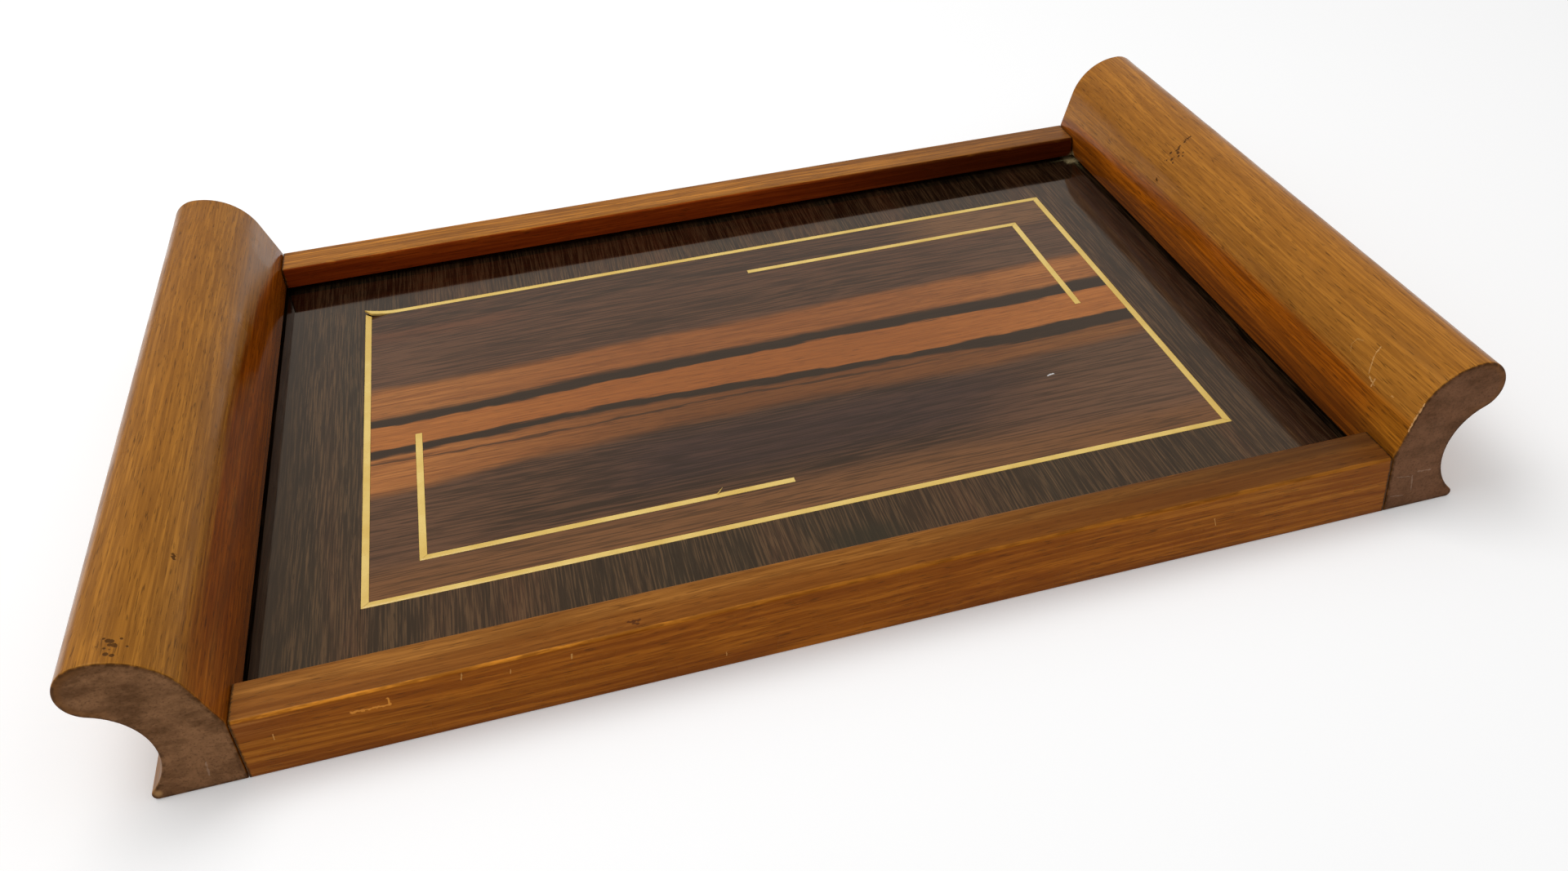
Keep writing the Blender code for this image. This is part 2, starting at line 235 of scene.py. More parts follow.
def handle_section():
    """Distance out from the joint with the rails, and height, once round the section."""
    sine, cosine = math.sin(math.radians(LEAN)), math.cos(math.radians(LEAN))
    top_out = HANDLE_OUT - NOSE_RADIUS
    crown_radius = (top_out * cosine - (HANDLE_TOP - RAIL_TOP) * sine) / (1 - sine)
    crown = (top_out, HANDLE_TOP - crown_radius)
    nose = (top_out, HANDLE_TOP - NOSE_RADIUS)
    inwards, below = top_out - WAIST_OUT, nose[1] - WAIST_UP
    hollow_radius = (inwards**2 + below**2 - NOSE_RADIUS**2) / (2 * (NOSE_RADIUS + inwards))
    hollow = (WAIST_OUT + hollow_radius, WAIST_UP)
    nose_end = math.degrees(math.atan2(hollow[1] - nose[1], hollow[0] - nose[0]))
    lip_below = WAIST_UP - LIP_RADIUS
    lip_inwards = math.sqrt((hollow_radius + LIP_RADIUS) ** 2 - lip_below**2)
    lip = (hollow[0] - lip_inwards, LIP_RADIUS)
    lip_start = math.degrees(math.atan2(lip_below, lip_inwards))

    crown_arc = arc(crown, crown_radius, 180 - LEAN, 90, FACETS["crown"])
    section = [(0.0, 0.0), (0.0, GROOVE_FOOT), (0.0, GROOVE_ROOF), (0.0, RAIL_TOP)]
    section += divided((0.0, RAIL_TOP), crown_arc[0], FACETS["face"]) + crown_arc
    section += arc(nose, NOSE_RADIUS, 90, nose_end, FACETS["nose"])[1:]
    section += arc(hollow, hollow_radius, nose_end + 180, lip_start + 180, FACETS["hollow"])[1:]
    section += arc(lip, LIP_RADIUS, lip_start, -90, FACETS["lip"])[1:]
    section += divided((lip[0], 0.0), (0.0, 0.0), FACETS["foot"])
    return section


handle_line = handle_section()
print("handle section:", len(handle_line), "points")

# %% [markdown]
# A surface worked with hand planes is never quite even: it has shallow hollows a few
# centimetres long, and a glossy varnish shows them. We sink the upper part of the handle by up
# to a tenth of a millimetre, following a slow noise, and let the hollows fade near both ends.

# %% Hollows left by the plane
PLANING_DEPTH = 0.12 * MM
PLANED_ABOVE = 40 * MM
PLANING_FADE = 6 * MM
HEART_OUT, HEART_UP = 20 * MM, 36 * MM
HOLLOWS_ACROSS, HOLLOWS_ALONG = 45, 20


def plane_by_hand(rings, grid, side):
    """Sinks the rings of a handle's upper part towards the heart of its section."""
    for (run, inset, edge), row in zip(rings, grid):
        fade = min(1.0, (HALF_DEPTH - abs(run)) / PLANING_FADE)
        for vertex, (out, up) in zip(row, handle_line):
            if inset > 0.0 or up <= PLANED_ABOVE:
                continue
            where = (out * HOLLOWS_ACROSS + side, up * HOLLOWS_ACROSS, run * HOLLOWS_ALONG)
            hollow = PLANING_DEPTH * fade * (0.5 + 0.5 * noise.noise(Vector(where)))
            heart = Vector((side * (JOINT_X + HEART_OUT), vertex.co.y, HEART_UP))
            vertex.co += (heart - vertex.co).normalized() * hollow


print("hollows up to", round(PLANING_DEPTH / MM, 2), "mm deep")

# %% [markdown]
# Some mesh operators leave their new faces in an order that differs from run to run, and the
# extrude that will cut the groove is one of them. Nothing of it shows, but two exports of the
# same tray would differ as files. So we number vertices, edges and faces by where they lie,
# and the mesh sorts itself by those numbers.

# %% One order on every run
def settle_order(shape):
    """Puts vertices, edges and faces in an order that depends only on where they lie."""
    keys = (
        (shape.verts, lambda vertex: vertex.co.to_tuple()),
        (shape.edges, lambda edge: sorted(vertex.index for vertex in edge.verts)),
        (shape.faces, lambda face: face.calc_center_median().to_tuple()),
    )
    for elements, place_of in keys:
        for rank, element in enumerate(sorted(elements, key=place_of)):
            element.index = rank
        elements.sort()


print("meshes can be put in order")

# %% [markdown]
# The panel's edge lies in a groove along the inner face of each handle. The groove is taller
# than the panel, so a thin black slot shows above the veneer, and the glossy panel mirrors it.
# A Boolean could cut it, but the strip between two rows of the sweep is already there: pushing
# its faces inwards makes the same pocket with clean edges.

# %% Both handles
END_EASE = 0.7 * MM
RING_SPACING = 6 * MM
GROOVE_HALF = PANEL_HIGH.y + CAD_GAP


def sink_groove(shape, rings, grid, side):
    """Pushes the strip between the groove's foot and its roof into the handle."""
    strip = []
    for low_ring, high_ring, low, high in zip(rings, rings[1:], grid, grid[1:]):
        if low_ring[0] >= -GROOVE_HALF and high_ring[0] <= GROOVE_HALF:
            corners = {low[1], low[2], high[1], high[2]}
            strip += [face for face in low[1].link_faces if set(face.verts) == corners]
    pushed = bmesh.ops.extrude_face_region(shape, geom=strip)
    moved = [item for item in pushed["geom"] if isinstance(item, bmesh.types.BMVert)]
    bmesh.ops.translate(shape, verts=moved, vec=(side * GROOVE_DEEP, 0, 0))
    left_over = [face for face in strip if face.is_valid]
    bmesh.ops.delete(shape, geom=left_over, context="FACES_ONLY")
    bmesh.ops.recalc_face_normals(shape, faces=shape.faces)


def make_handle(name, side, node):
    def place(out, up, run):
        return Vector((side * (JOINT_X + out), run, up))

    rings = eased_run(-HALF_DEPTH, HALF_DEPTH, END_EASE, RING_SPACING)
    for end in (-GROOVE_HALF, GROOVE_HALF):
        closest = min(range(len(rings)), key=lambda n: abs(rings[n][0] - end))
        rings[closest] = (end, 0.0, 0.0)
    shape, grid = swept(handle_line, [0.0] * len(handle_line), rings, place)
    plane_by_hand(rings, grid, side)
    sink_groove(shape, rings, grid, side)
    settle_order(shape)
    return finish_piece(name, shape, "handle_wood", [node])


make_handle("left_rolled_handle", -1, "left_handle")
make_handle("right_rolled_handle", 1, "right_handle")

# %% [markdown]
# A rail is a plain batten with its top arrises taken off by a few strokes of a block plane.
# Those roundings catch the light along the whole front of the tray, so they get six facets
# each, and the rows beside them carry the "edge" value that the worn and painted highlight line follows.

# %% Both rails
TOP_EASE = 1.1 * MM
FOOT_EASE = 0.6 * MM
ARRIS_EDGE = (0.4, 0.7, 0.9, 1.0, 1.0, 0.8, 0.5)
BESIDE_ARRIS = 0.5 * MM
PAST_ARRIS = 4 * MM
RAIL_END_EASE = 0.3 * MM


def rail_section():
    """Distance in from the outer face, height, and how close it is to the outer top arris."""
    deep = HALF_DEPTH - WELL_Y
    groove = deep - GROOVE_DEEP
    low = RAIL_TOP - TOP_EASE
    points = [(x, z, 0.0) for x, z in arc((FOOT_EASE, FOOT_EASE), FOOT_EASE, 270, 180, 4)]
    points += [(0.0, RAIL_TOP / 2, 0.0), (0.0, low - PAST_ARRIS, 0.0), (0.0, low - BESIDE_ARRIS, 0.1)]
    rounding = arc((TOP_EASE, low), TOP_EASE, 180, 90, len(ARRIS_EDGE) - 1)
    points += [(x, z, edge) for (x, z), edge in zip(rounding, ARRIS_EDGE)]
    points += [(TOP_EASE + BESIDE_ARRIS, RAIL_TOP, 0.2), (TOP_EASE + PAST_ARRIS, RAIL_TOP, 0.0)]
    inner = arc((deep - TOP_EASE, low), TOP_EASE, 90, 0, 6)
    points += [(deep - TOP_EASE - 2 * MM, RAIL_TOP, 0.0)] + [(x, z, 0.5) for x, z in inner]
    points += [(deep, low - 1.5 * MM, 0.0), (deep, GROOVE_ROOF, 0.0), (groove, GROOVE_ROOF, 0.0)]
    points += [(groove, GROOVE_FOOT, 0.0), (deep, GROOVE_FOOT, 0.0)]
    foot = arc((deep - FOOT_EASE, FOOT_EASE), FOOT_EASE, 0, -90, 4)
    return points + [(x, z, 0.0) for x, z in foot]


def make_rail(name, side, node):
    def place(inwards, up, run):
        return Vector((run, side * (HALF_DEPTH - inwards), up))

    points = rail_section()
    section = [(x, z) for x, z, edge in points]
    edges = [edge for x, z, edge in points]
    rings = eased_run(-RAIL_END, RAIL_END, RAIL_END_EASE, RING_SPACING)
    shape, grid = swept(section, edges, rings, place)
    return finish_piece(name, shape, "rail_wood", [node])


make_rail("front_batten", -1, "front_rail")
make_rail("rear_batten", 1, "rear_rail")

# %% [markdown]
# The panel is a mosaic of veneers: four border sheets, a striped field, and thin pale strings
# between them. The CAD keeps a gap round each one. On the real tray the joints are pressed
# tight, so the sheets here grow to within a hair of the strings. First we measure where the
# strings run and where the two L shapes turn and end.

# %% Where the strings lie
STRING_WIDTH = 2.7 * MM
HAIRLINE = 0.05 * MM

outer_low = Vector((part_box("string_left")[0].x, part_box("string_front")[0].y))
outer_high = Vector((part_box("string_right")[1].x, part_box("string_rear")[1].y))
front_long, front_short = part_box("ell_front_left_long"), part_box("ell_front_left_short")
rear_long, rear_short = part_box("ell_rear_right_long"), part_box("ell_rear_right_short")
front_left_corner = Vector((front_short[0].x, front_long[0].y))
front_left_arms = Vector((front_long[1].x, front_short[1].y))
rear_right_corner = Vector((rear_short[1].x, rear_long[1].y))
rear_right_arms = Vector((rear_long[0].x, rear_short[0].y))


def slot_cells(corner, arms):
    """The two rectangles of an L shaped slot, a hairline wider than the strings in it."""
    ways = Vector((math.copysign(1, arms.x - corner.x), math.copysign(1, arms.y - corner.y)))
    outside = corner - ways * HAIRLINE
    inside = corner + ways * (STRING_WIDTH + HAIRLINE)
    ends = arms + ways * HAIRLINE
    return [(outside, Vector((ends.x, inside.y))), (outside, Vector((inside.x, ends.y)))]


ell_slots = slot_cells(front_left_corner, front_left_arms)
ell_slots += slot_cells(rear_right_corner, rear_right_arms)
print("strings enclose", [round(v, 3) for v in (outer_high - outer_low)], "m")

# %% [markdown]
# A veneer sheet is a grid of cells with the slots for the L shapes left out, raised to veneer
# thickness, with the finest bevel round its upper rim. Cutting the grid at every slot edge keeps
# all faces square and flat, where a Boolean would leave long thin triangles.

# %% One veneer sheet
SHEET_BEVEL = 0.06 * MM


def in_a_slot(x, y, slots):
    for a, b in slots:
        if min(a.x, b.x) < x < max(a.x, b.x) and min(a.y, b.y) < y < max(a.y, b.y):
            return True
    return False


def lay_cells(shape, low, high, slots):
    """Flat cells between all the cuts, without those that lie in a slot."""
    x_cuts = sorted({low.x, high.x} | {point.x for slot in slots for point in slot})
    y_cuts = sorted({low.y, high.y} | {point.y for slot in slots for point in slot})
    corners = {}
    for x0, x1 in zip(x_cuts, x_cuts[1:]):
        for y0, y1 in zip(y_cuts, y_cuts[1:]):
            if in_a_slot((x0 + x1) / 2, (y0 + y1) / 2, slots):
                continue
            around = [(x0, y0), (x1, y0), (x1, y1), (x0, y1)]
            for corner in around:
                if corner not in corners:
                    corners[corner] = shape.verts.new((*corner, VENEER_FOOT))
            shape.faces.new([corners[corner] for corner in around])


def upper_rim(shape):
    """The edges at the panel's surface where a flat top meets a side."""
    rim = []
    for edge in shape.edges:
        on_top = all(vertex.co.z > PANEL_TOP - HAIRLINE for vertex in edge.verts)
        if on_top and abs(edge.link_faces[0].normal.dot(edge.link_faces[1].normal)) < 0.5:
            rim.append(edge)
    return rim


def make_sheet(name, wood, low, high, slots, node):
    shape = bmesh.new()
    shape.verts.layers.float.new("edge")
    lay_cells(shape, low, high, slots)
    pushed = bmesh.ops.extrude_face_region(shape, geom=list(shape.faces))
    moved = [item for item in pushed["geom"] if isinstance(item, bmesh.types.BMVert)]
    bmesh.ops.translate(shape, verts=moved, vec=(0, 0, PANEL_TOP - VENEER_FOOT))
    bmesh.ops.recalc_face_normals(shape, faces=shape.faces)
    shape.normal_update()
    rim = upper_rim(shape)
    bmesh.ops.bevel(shape, geom=rim, affect="EDGES", offset=SHEET_BEVEL, segments=2, profile=0.5)
    return finish_piece(name, shape, wood, [node], smooth=False)


print("veneer", round((PANEL_TOP - VENEER_FOOT) / MM, 2), "mm thick")

# %% [markdown]
# The field fills the space inside the strings. The four border sheets run from the strings to
# the panel's edges, deep in the grooves, the left and right ones over the whole depth.

# %% The field and the border
field_low = outer_low + Vector((1, 1)) * (STRING_WIDTH + HAIRLINE)
field_high = outer_high - Vector((1, 1)) * (STRING_WIDTH + HAIRLINE)
make_sheet("striped_field", "field_veneer", field_low, field_high, ell_slots, "field_veneer")

edge_low, edge_high = PANEL_LOW.xy, PANEL_HIGH.xy
near_left, near_right = outer_low.x - HAIRLINE, outer_high.x + HAIRLINE
near_front, near_rear = outer_low.y - HAIRLINE, outer_high.y + HAIRLINE
border_sheets = {
    "left": (edge_low, Vector((near_left, edge_high.y))),
    "right": (Vector((near_right, edge_low.y)), edge_high),
    "front": (Vector((near_left, edge_low.y)), Vector((near_right, near_front))),
    "rear": (Vector((near_left, near_rear)), Vector((near_right, edge_high.y))),
}
for where, (low, high) in border_sheets.items():
    make_sheet(f"{where}_border", "border_veneer", low, high, [], f"border_veneer_{where}")

# %% [markdown]
# The strings are strips of pale wood, mitred at the corners and let in almost flush. On an old
# tray they aren't perfect: their edges wander by a twentieth of a millimetre, and at the rear
# left corner the end has sprung out of its groove and curls up. So each string is laid row by
# row, with its width nudged inwards by a slow noise, and one of them with its end lifted. We
# begin with the section, whose upper edges are just softened.

# %% The string's section
PROUD = 0.05 * MM
STRING_ROUND = 0.06 * MM


def string_section():
    """Distance in from the string's outer edge, and height, once round the section."""
    top = PANEL_TOP + PROUD
    points = [(0.0, VENEER_FOOT), (STRING_WIDTH, VENEER_FOOT)]
    points += arc((STRING_WIDTH - STRING_ROUND, top - STRING_ROUND), STRING_ROUND, 0, 90, 3)
    points += [(STRING_WIDTH / 2, top)]
    points += arc((STRING_ROUND, top - STRING_ROUND), STRING_ROUND, 90, 180, 3)
    return points


print("string section:", len(string_section()), "points")

# %% [markdown]
# At a mitre each point of the section has its own length to run: the outer edge stops at the
# corner and the inner edge sooner. So the rows near a mitred end lie askew and the joint closes
# exactly, with no cutting.

# %% One string
STRING_ROWS = 3 * MM
STRING_SLACK = 0.03 * MM
SLACK_ALONG, SLACK_APART = 90, 30
LIFTED_LENGTH = 15 * MM
LIFT = 2.3 * MM


def make_string(name, node, start, end, inward, mitres, lifted=False):
    """A string along its outer edge from start to end. mitres says which ends are mitred."""
    start, end, inward = (Vector((*point, 0)) for point in (start, end, inward))
    along = (end - start).normalized()
    length = (end - start).length
    rows = max(8, round(length / STRING_ROWS))
    shape = bmesh.new()
    layer = shape.verts.layers.float.new("edge")
    grid = []
    for n in range(rows + 1):
        row = []
        for across, up in string_section():
            near = (HAIRLINE + across) * mitres[0]
            far = length - (HAIRLINE + across) * mitres[1]
            run = near + (far - near) * (n / rows)
            where = (run * SLACK_ALONG, start.x * SLACK_APART, start.y * SLACK_APART)
            slack = STRING_SLACK * (1 + noise.noise(Vector(where)))
            shift = slack if across < STRING_WIDTH / 2 else -slack
            spot = start + along * run + inward * (across + shift) + Vector((0, 0, up))
            if lifted and run < LIFTED_LENGTH:
                spot.z += LIFT * ((LIFTED_LENGTH - run) / LIFTED_LENGTH) ** 2
            vertex = shape.verts.new(spot)
            plain = up < PANEL_TOP - STRING_ROUND or across == STRING_WIDTH / 2
            vertex[layer] = 0.0 if plain else 1.0
            row.append(vertex)
        grid.append(row)
    skin(shape, grid)
    return finish_piece(name, shape, "stringing", [node])


print("strings", round(STRING_WIDTH / MM, 1), "mm wide, one end lifted by", round(LIFT / MM, 1), "mm")

# %% [markdown]
# Four strings make the rectangle, mitred at both ends. The two arms of each L shape are mitred
# only where they meet, and their free ends are cut square.

# %% All the strings
BOTH, ELBOW = (1, 1), (1, 0)
rear_left, front_right = (outer_low.x, outer_high.y), (outer_high.x, outer_low.y)

make_string("front_string", "string_front", outer_low, front_right, (0, 1), BOTH)
make_string("rear_string", "string_rear", rear_left, outer_high, (0, -1), BOTH, lifted=True)
make_string("left_string", "string_left", outer_low, rear_left, (1, 0), BOTH)
make_string("right_string", "string_right", front_right, outer_high, (-1, 0), BOTH)
for where, corner, arms, way in (
    ("front_left", front_left_corner, front_left_arms, 1),
    ("rear_right", rear_right_corner, rear_right_arms, -1),
):
    long_name, short_name = f"ell_{where}_long", f"ell_{where}_short"
    make_string(f"{where}_long_arm", long_name, corner, (arms.x, corner.y), (0, way), ELBOW)
    make_string(f"{where}_short_arm", short_name, corner, (corner.x, arms.y), (way, 0), ELBOW)

# %% [markdown]
# One small accident finishes the mosaic. A splinter stands up from the long arm of the front L,
# and it is a shape, since it throws a tiny shadow. It is a thin wedge that starts in the string
# and rises towards the rear right. It stands for no solid, so it only rides on the tray.

# %% A splinter on one string
SPLINTER_AT = Vector((-34.5 * MM, front_left_corner.y + 2.0 * MM, PANEL_TOP))
SPLINTER_WAY = Vector((2.6 * MM, 1.5 * MM, 1.3 * MM))
SPLINTER_HALF = 0.28 * MM
SPLINTER_CURL = Vector((0, 0, 0.4 * MM))
SPLINTER_WIDTHS = ((-0.15, 0.8), (0.2, 1.0), (0.6, 0.7), (1.0, 0.15))

splinter = bmesh.new()
splinter.verts.layers.float.new("edge")
side_way = SPLINTER_WAY.cross(Vector((0, 0, 1))).normalized() * SPLINTER_HALF
up_way = Vector((0, 0, SPLINTER_HALF)) * 0.6
sections = []
for share, width in SPLINTER_WIDTHS:
    middle = SPLINTER_AT + SPLINTER_WAY * share + SPLINTER_CURL * share**2
    offsets = (-side_way, up_way, side_way, -up_way)
    sections.append([splinter.verts.new(middle + offset * width) for offset in offsets])
skin(splinter, sections)
finish_piece("string_splinter", splinter, "stringing")

# %% [markdown]
# Now the finishes. Shader graphs made in code turn into a wall of lines unless the small jobs
# have names, so we first write a few short helpers: one adds a node and feeds it, and the
# others do arithmetic with it. Each takes numbers or the outputs of other nodes, and gives an
# output back.

# %% Helpers for wiring nodes
def feed(tree, socket, value):
    """Puts a number, a colour or another node's output into a socket."""
    if isinstance(value, bpy.types.NodeSocket):
        tree.links.new(value, socket)
    else:
        socket.default_value = value


def add(tree, kind, inputs=None, **settings):
    """Adds a node of that kind, sets its options, and feeds its inputs by name or number."""
    node = tree.nodes.new("ShaderNode" + kind)
    for option, value in settings.items():
        setattr(node, option, value)
    for key, value in (inputs or {}).items():
        feed(tree, node.inputs[key], value)
    return node


def reckon(tree, operation, *values, clamp=False):
    inputs = dict(enumerate(values))
    return add(tree, "Math", inputs, operation=operation, use_clamp=clamp).outputs[0]


def total(tree, first, *others):
    for other in others:
        first = reckon(tree, "ADD", first, other)
    return first


def product(tree, first, *others):
    for other in others:
        first = reckon(tree, "MULTIPLY", first, other)
    return first


def without_sign(tree, value):
    return reckon(tree, "ABSOLUTE", value)


def rest_of(tree, mask):
    """What a mask leaves over: 0 where it is 1, and 1 where it is 0."""
    return reckon(tree, "SUBTRACT", 1.0, mask)


def swing(tree, value, depth):
    """Turns a value about 0.5 into one about 0, as deep as given."""
    return product(tree, reckon(tree, "SUBTRACT", value, 0.5), depth)


print("arithmetic helpers ready")

# %% [markdown]
# Places and directions are vectors, and they have arithmetic of their own. Stretching the place
# that a texture is read at is how a round noise becomes long grain: whatever is squeezed across
# the board looks drawn out along it.

# %% Helpers for places
def vector(tree, operation, first, second):
    """Vector arithmetic. Distances and dot products come out as a number."""
    node = add(tree, "VectorMath", {0: first, 1: second}, operation=operation)
    return node.outputs["Value" if operation in ("DISTANCE", "DOT_PRODUCT") else "Vector"]


def scaled(tree, way, amount):
    return add(tree, "VectorMath", {0: way, "Scale": amount}, operation="SCALE").outputs[0]


def stretched(tree, place, x, y, z):
    """The place with each axis scaled, which stretches whatever is drawn with it."""
    return vector(tree, "MULTIPLY", place, (x, y, z))


def cloud(tree, place, scale=1.0, detail=2.0, rough=0.5):
    """A noise between about 0 and 1."""
    inputs = {"Vector": place, "Scale": scale, "Detail": detail, "Roughness": rough}
    return add(tree, "TexNoise", inputs).outputs[0]


def step(tree, value, low, high, to_low=0.0, to_high=1.0):
    """A soft step from to_low to to_high while the value goes from low to high."""
    inputs = {"Value": value, "From Min": low, "From Max": high, "To Min": to_low, "To Max": to_high}
    return add(tree, "MapRange", inputs, interpolation_type="SMOOTHSTEP").outputs[0]


print("helpers for places ready")

# %% [markdown]
# Some limits on this tray, such as the line where the painted shade on the handles ends, follow
# no rule: they are simply where they are. A float curve node draws such a line freehand, from a
# few points.

# %% Helper for freehand lines
def drawn_line(tree, along, span, points, middle, reach):
    """The height of a freehand line along a run from -span to span. All sizes are millimetres."""
    inputs = {"Value": along, "From Min": -span * MM, "From Max": span * MM}
    node = add(tree, "FloatCurve", {"Value": add(tree, "MapRange", inputs).outputs[0]})
    curve = node.mapping.curves[0]
    wanted = [(0.5 + run / (2 * span), 0.5 + (up - middle) / (2 * reach)) for run, up in points]
    for spot, (share, height) in zip(curve.points, (wanted[0], wanted[-1])):
        spot.location = (share, height)
    for share, height in wanted[1:-1]:
        curve.points.new(share, height)
    node.mapping.update()
    return total(tree, swing(tree, node.outputs[0], 2 * reach * MM), middle * MM)


print("lines can be drawn")

# %% [markdown]
# Colour is laid on as a polisher would do it, coat by coat: a ground first, then each coat over
# it, thick or thin as its mask says. Tones are written as they show on a screen, 0 to 255, and
# turned into the linear values that shaders work in.

# %% Helpers for colour
def mix(tree, amount, first, second):
    """One colour turning into another by the amount."""
    node = add(tree, "Mix", None, data_type="RGBA")
    for name, value in (("Factor_Float", amount), ("A_Color", first), ("B_Color", second)):
        feed(tree, next(s for s in node.inputs if s.identifier == name), value)
    return next(s for s in node.outputs if s.identifier == "Result_Color")


def painted(tree, colour, *coats):
    """Lays coats over a colour, one after the other. Each coat is a mask and a colour."""
    for mask, coat in coats:
        colour = mix(tree, mask, colour, coat)
    return colour


def tone(red, green, blue):
    linear = []
    for value in (red, green, blue):
        share = value / 255
        linear.append(share / 12.92 if share <= 0.04045 else ((share + 0.055) / 1.055) ** 2.4)
    return (*linear, 1.0)


print("mid brown in linear values:", [round(v, 3) for v in tone(120, 80, 40)])

# %% [markdown]
# Effects that several woods share are node groups: built once, then dropped into each material
# with its own values. A group gives out only masks and values. The shader itself, and the
# settings that are the same all over a surface, stay in the material, where an export can
# find them.

# %% Helpers for node groups
NO_PLACE = ("Vector", (0, 0, 0))


def start_group(name, inputs, outputs):
    """A new group. inputs maps each name to its kind and value, outputs lists masks and values."""
    tree = bpy.data.node_groups.new(name, "ShaderNodeTree")
    for label, (kind, value) in inputs.items():
        socket = tree.interface.new_socket(label, in_out="INPUT", socket_type="NodeSocket" + kind)
        socket.default_value = value
    for label in outputs:
        tree.interface.new_socket(label, in_out="OUTPUT", socket_type="NodeSocketFloat")
    given = tree.nodes.new("NodeGroupInput").outputs
    result = tree.nodes.new("NodeGroupOutput").inputs
    return tree, given, result


def use_group(tree, group, **inputs):
    """Places a group in a material, feeds its inputs and returns its outputs."""
    node = tree.nodes.new("ShaderNodeGroup")
    node.node_tree = group
    for label, value in inputs.items():
        feed(tree, node.inputs[label], value)
    return node.outputs


def count_nodes(tree, name):
    print(name, "has", len(tree.nodes), "nodes")


print("groups can be built")

# %% [markdown]
# Long grain is the heart of all these woods. On real boards it shows at several scales at
# once: broad bands from the growth rings, streaks a few millimetres wide, lines under a
# millimetre, fine fibres, and short dark pores. All five are noise, squeezed across the grain
# and drawn out along it. One slow noise bends the place they are read at, so the lines wander
# as they do in a real board.

# %% Group: long grain
BEND_GAIN = 4.0

tree, given, result = start_group(
    "Long grain",
    {
        "Place": NO_PLACE,
        "Fineness": ("Float", 1.0),
        "Wander": ("Float", 0.003),
        "Seed": ("Float", 0.0),
    },
    ["Bands", "Streaks", "Lines", "Fibres", "Pores"],
)
shift = add(tree, "CombineXYZ", {"X": given["Seed"], "Y": given["Seed"]}).outputs[0]
moved = vector(tree, "ADD", given["Place"], shift)
slow = cloud(tree, stretched(tree, moved, 5, 14, 14), 1.0, 1.0)
bend = product(tree, swing(tree, slow, given["Wander"]), BEND_GAIN)
bent = vector(tree, "ADD", moved, add(tree, "CombineXYZ", {"Y": bend, "Z": bend}).outputs[0])
finer = scaled(tree, bent, given["Fineness"])
grain_layers = {
    "Bands": (bent, 1.5, 55, 2.0, 0.5, 0.3, 0.7),
    "Streaks": (finer, 8, 330, 2.0, 0.55, 0.3, 0.7),
    "Lines": (finer, 20, 720, 2.0, 0.6, 0.3, 0.7),
    "Fibres": (bent, 55, 2300, 1.0, 0.5, 0.3, 0.7),
    "Pores": (bent, 160, 2900, 0.0, 0.5, 0.66, 0.76),
}
for name, (where, along, across, detail, rough, low, high) in grain_layers.items():
    drawn = cloud(tree, stretched(tree, where, along, across, across), 1.0, detail, rough)
    feed(tree, result[name], step(tree, drawn, low, high))
grain_group = tree
count_nodes(tree, "long grain")

# %% [markdown]
# Handling rubs the varnish off arrises first, and never evenly. The "edge" value that the
# shapes carry says where an arris is, and a broken noise decides how far the rubbing went. The
# same mask also lays a painted highlight along the arrises, so it is partly wear and partly
# painted highlight.

# %% Group: worn and highlighted edges
EDGE_SHARE, PATCHY_SHARE = 0.75, 0.9
NO_WEAR_BELOW = 1.45
WEAR_SOFT = 0.3

tree, given, result = start_group("Worn and highlighted edges", {"Place": NO_PLACE, "Amount": ("Float", 0.5)}, ["Wear"])
edge_value = add(tree, "Attribute", attribute_name="edge").outputs["Fac"]
patchy = cloud(tree, stretched(tree, given["Place"], 70, 260, 260), 1.0, 3.0, 0.65)
rubbed = total(tree, product(tree, edge_value, EDGE_SHARE), product(tree, patchy, PATCHY_SHARE))
limit = reckon(tree, "SUBTRACT", NO_WEAR_BELOW, given["Amount"])
feed(tree, result["Wear"], step(tree, rubbed, limit, total(tree, limit, WEAR_SOFT)))
wear_and_highlight_group = tree
count_nodes(tree, "worn edges")

# %% [markdown]
# Worm holes come in clusters. Each hole is drawn where a scattered point is near, inside a soft
# round region, so that the holes get smaller and end towards the rim of the cluster.

# %% Group: pits
POINTS_PER_METRE = 460.0
HOLE_SIZE = 0.44
HOLE_SOFT = 0.1

tree, given, result = start_group(
    "Pits", {"Place": NO_PLACE, "Middle": NO_PLACE, "Reach": ("Float", 0.01)}, ["Pit"]
)
scattered = {"Vector": given["Place"], "Scale": POINTS_PER_METRE, "Randomness": 1.0}
nearest = add(tree, "TexVoronoi", scattered).outputs["Distance"]
away = vector(tree, "DISTANCE", given["Place"], given["Middle"])
size = step(tree, reckon(tree, "DIVIDE", away, given["Reach"]), 0.5, 1.0, HOLE_SIZE, 0.0)
feed(tree, result["Pit"], step(tree, reckon(tree, "SUBTRACT", size, nearest), 0.0, HOLE_SOFT))
pit_group = tree
count_nodes(tree, "pits")

# %% [markdown]
# A scratch is a short line, drawn where the distance to a straight stretch is less than its
# width. A ragged noise multiplies that distance, so that a scratch breaks up along its way.
# Curved scratches are several stretches end to end.

# %% Group: scratch
tree, given, result = start_group(
    "Scratch",
    {
        "Place": NO_PLACE,
        "Start": NO_PLACE,
        "End": NO_PLACE,
        "Width": ("Float", 0.0004),
        "Ragged": ("Float", 1.0),
    },
    ["Line"],
)
whole = vector(tree, "SUBTRACT", given["End"], given["Start"])
reach = vector(tree, "SUBTRACT", given["Place"], given["Start"])
along, length = vector(tree, "DOT_PRODUCT", reach, whole), vector(tree, "DOT_PRODUCT", whole, whole)
foot = scaled(tree, whole, reckon(tree, "DIVIDE", along, length, clamp=True))
gap = product(tree, vector(tree, "DISTANCE", reach, foot), given["Ragged"])
double = product(tree, given["Width"], 2.0)
feed(tree, result["Line"], step(tree, gap, given["Width"], double, 1.0, 0.0))
scratch_group = tree
count_nodes(tree, "scratch")

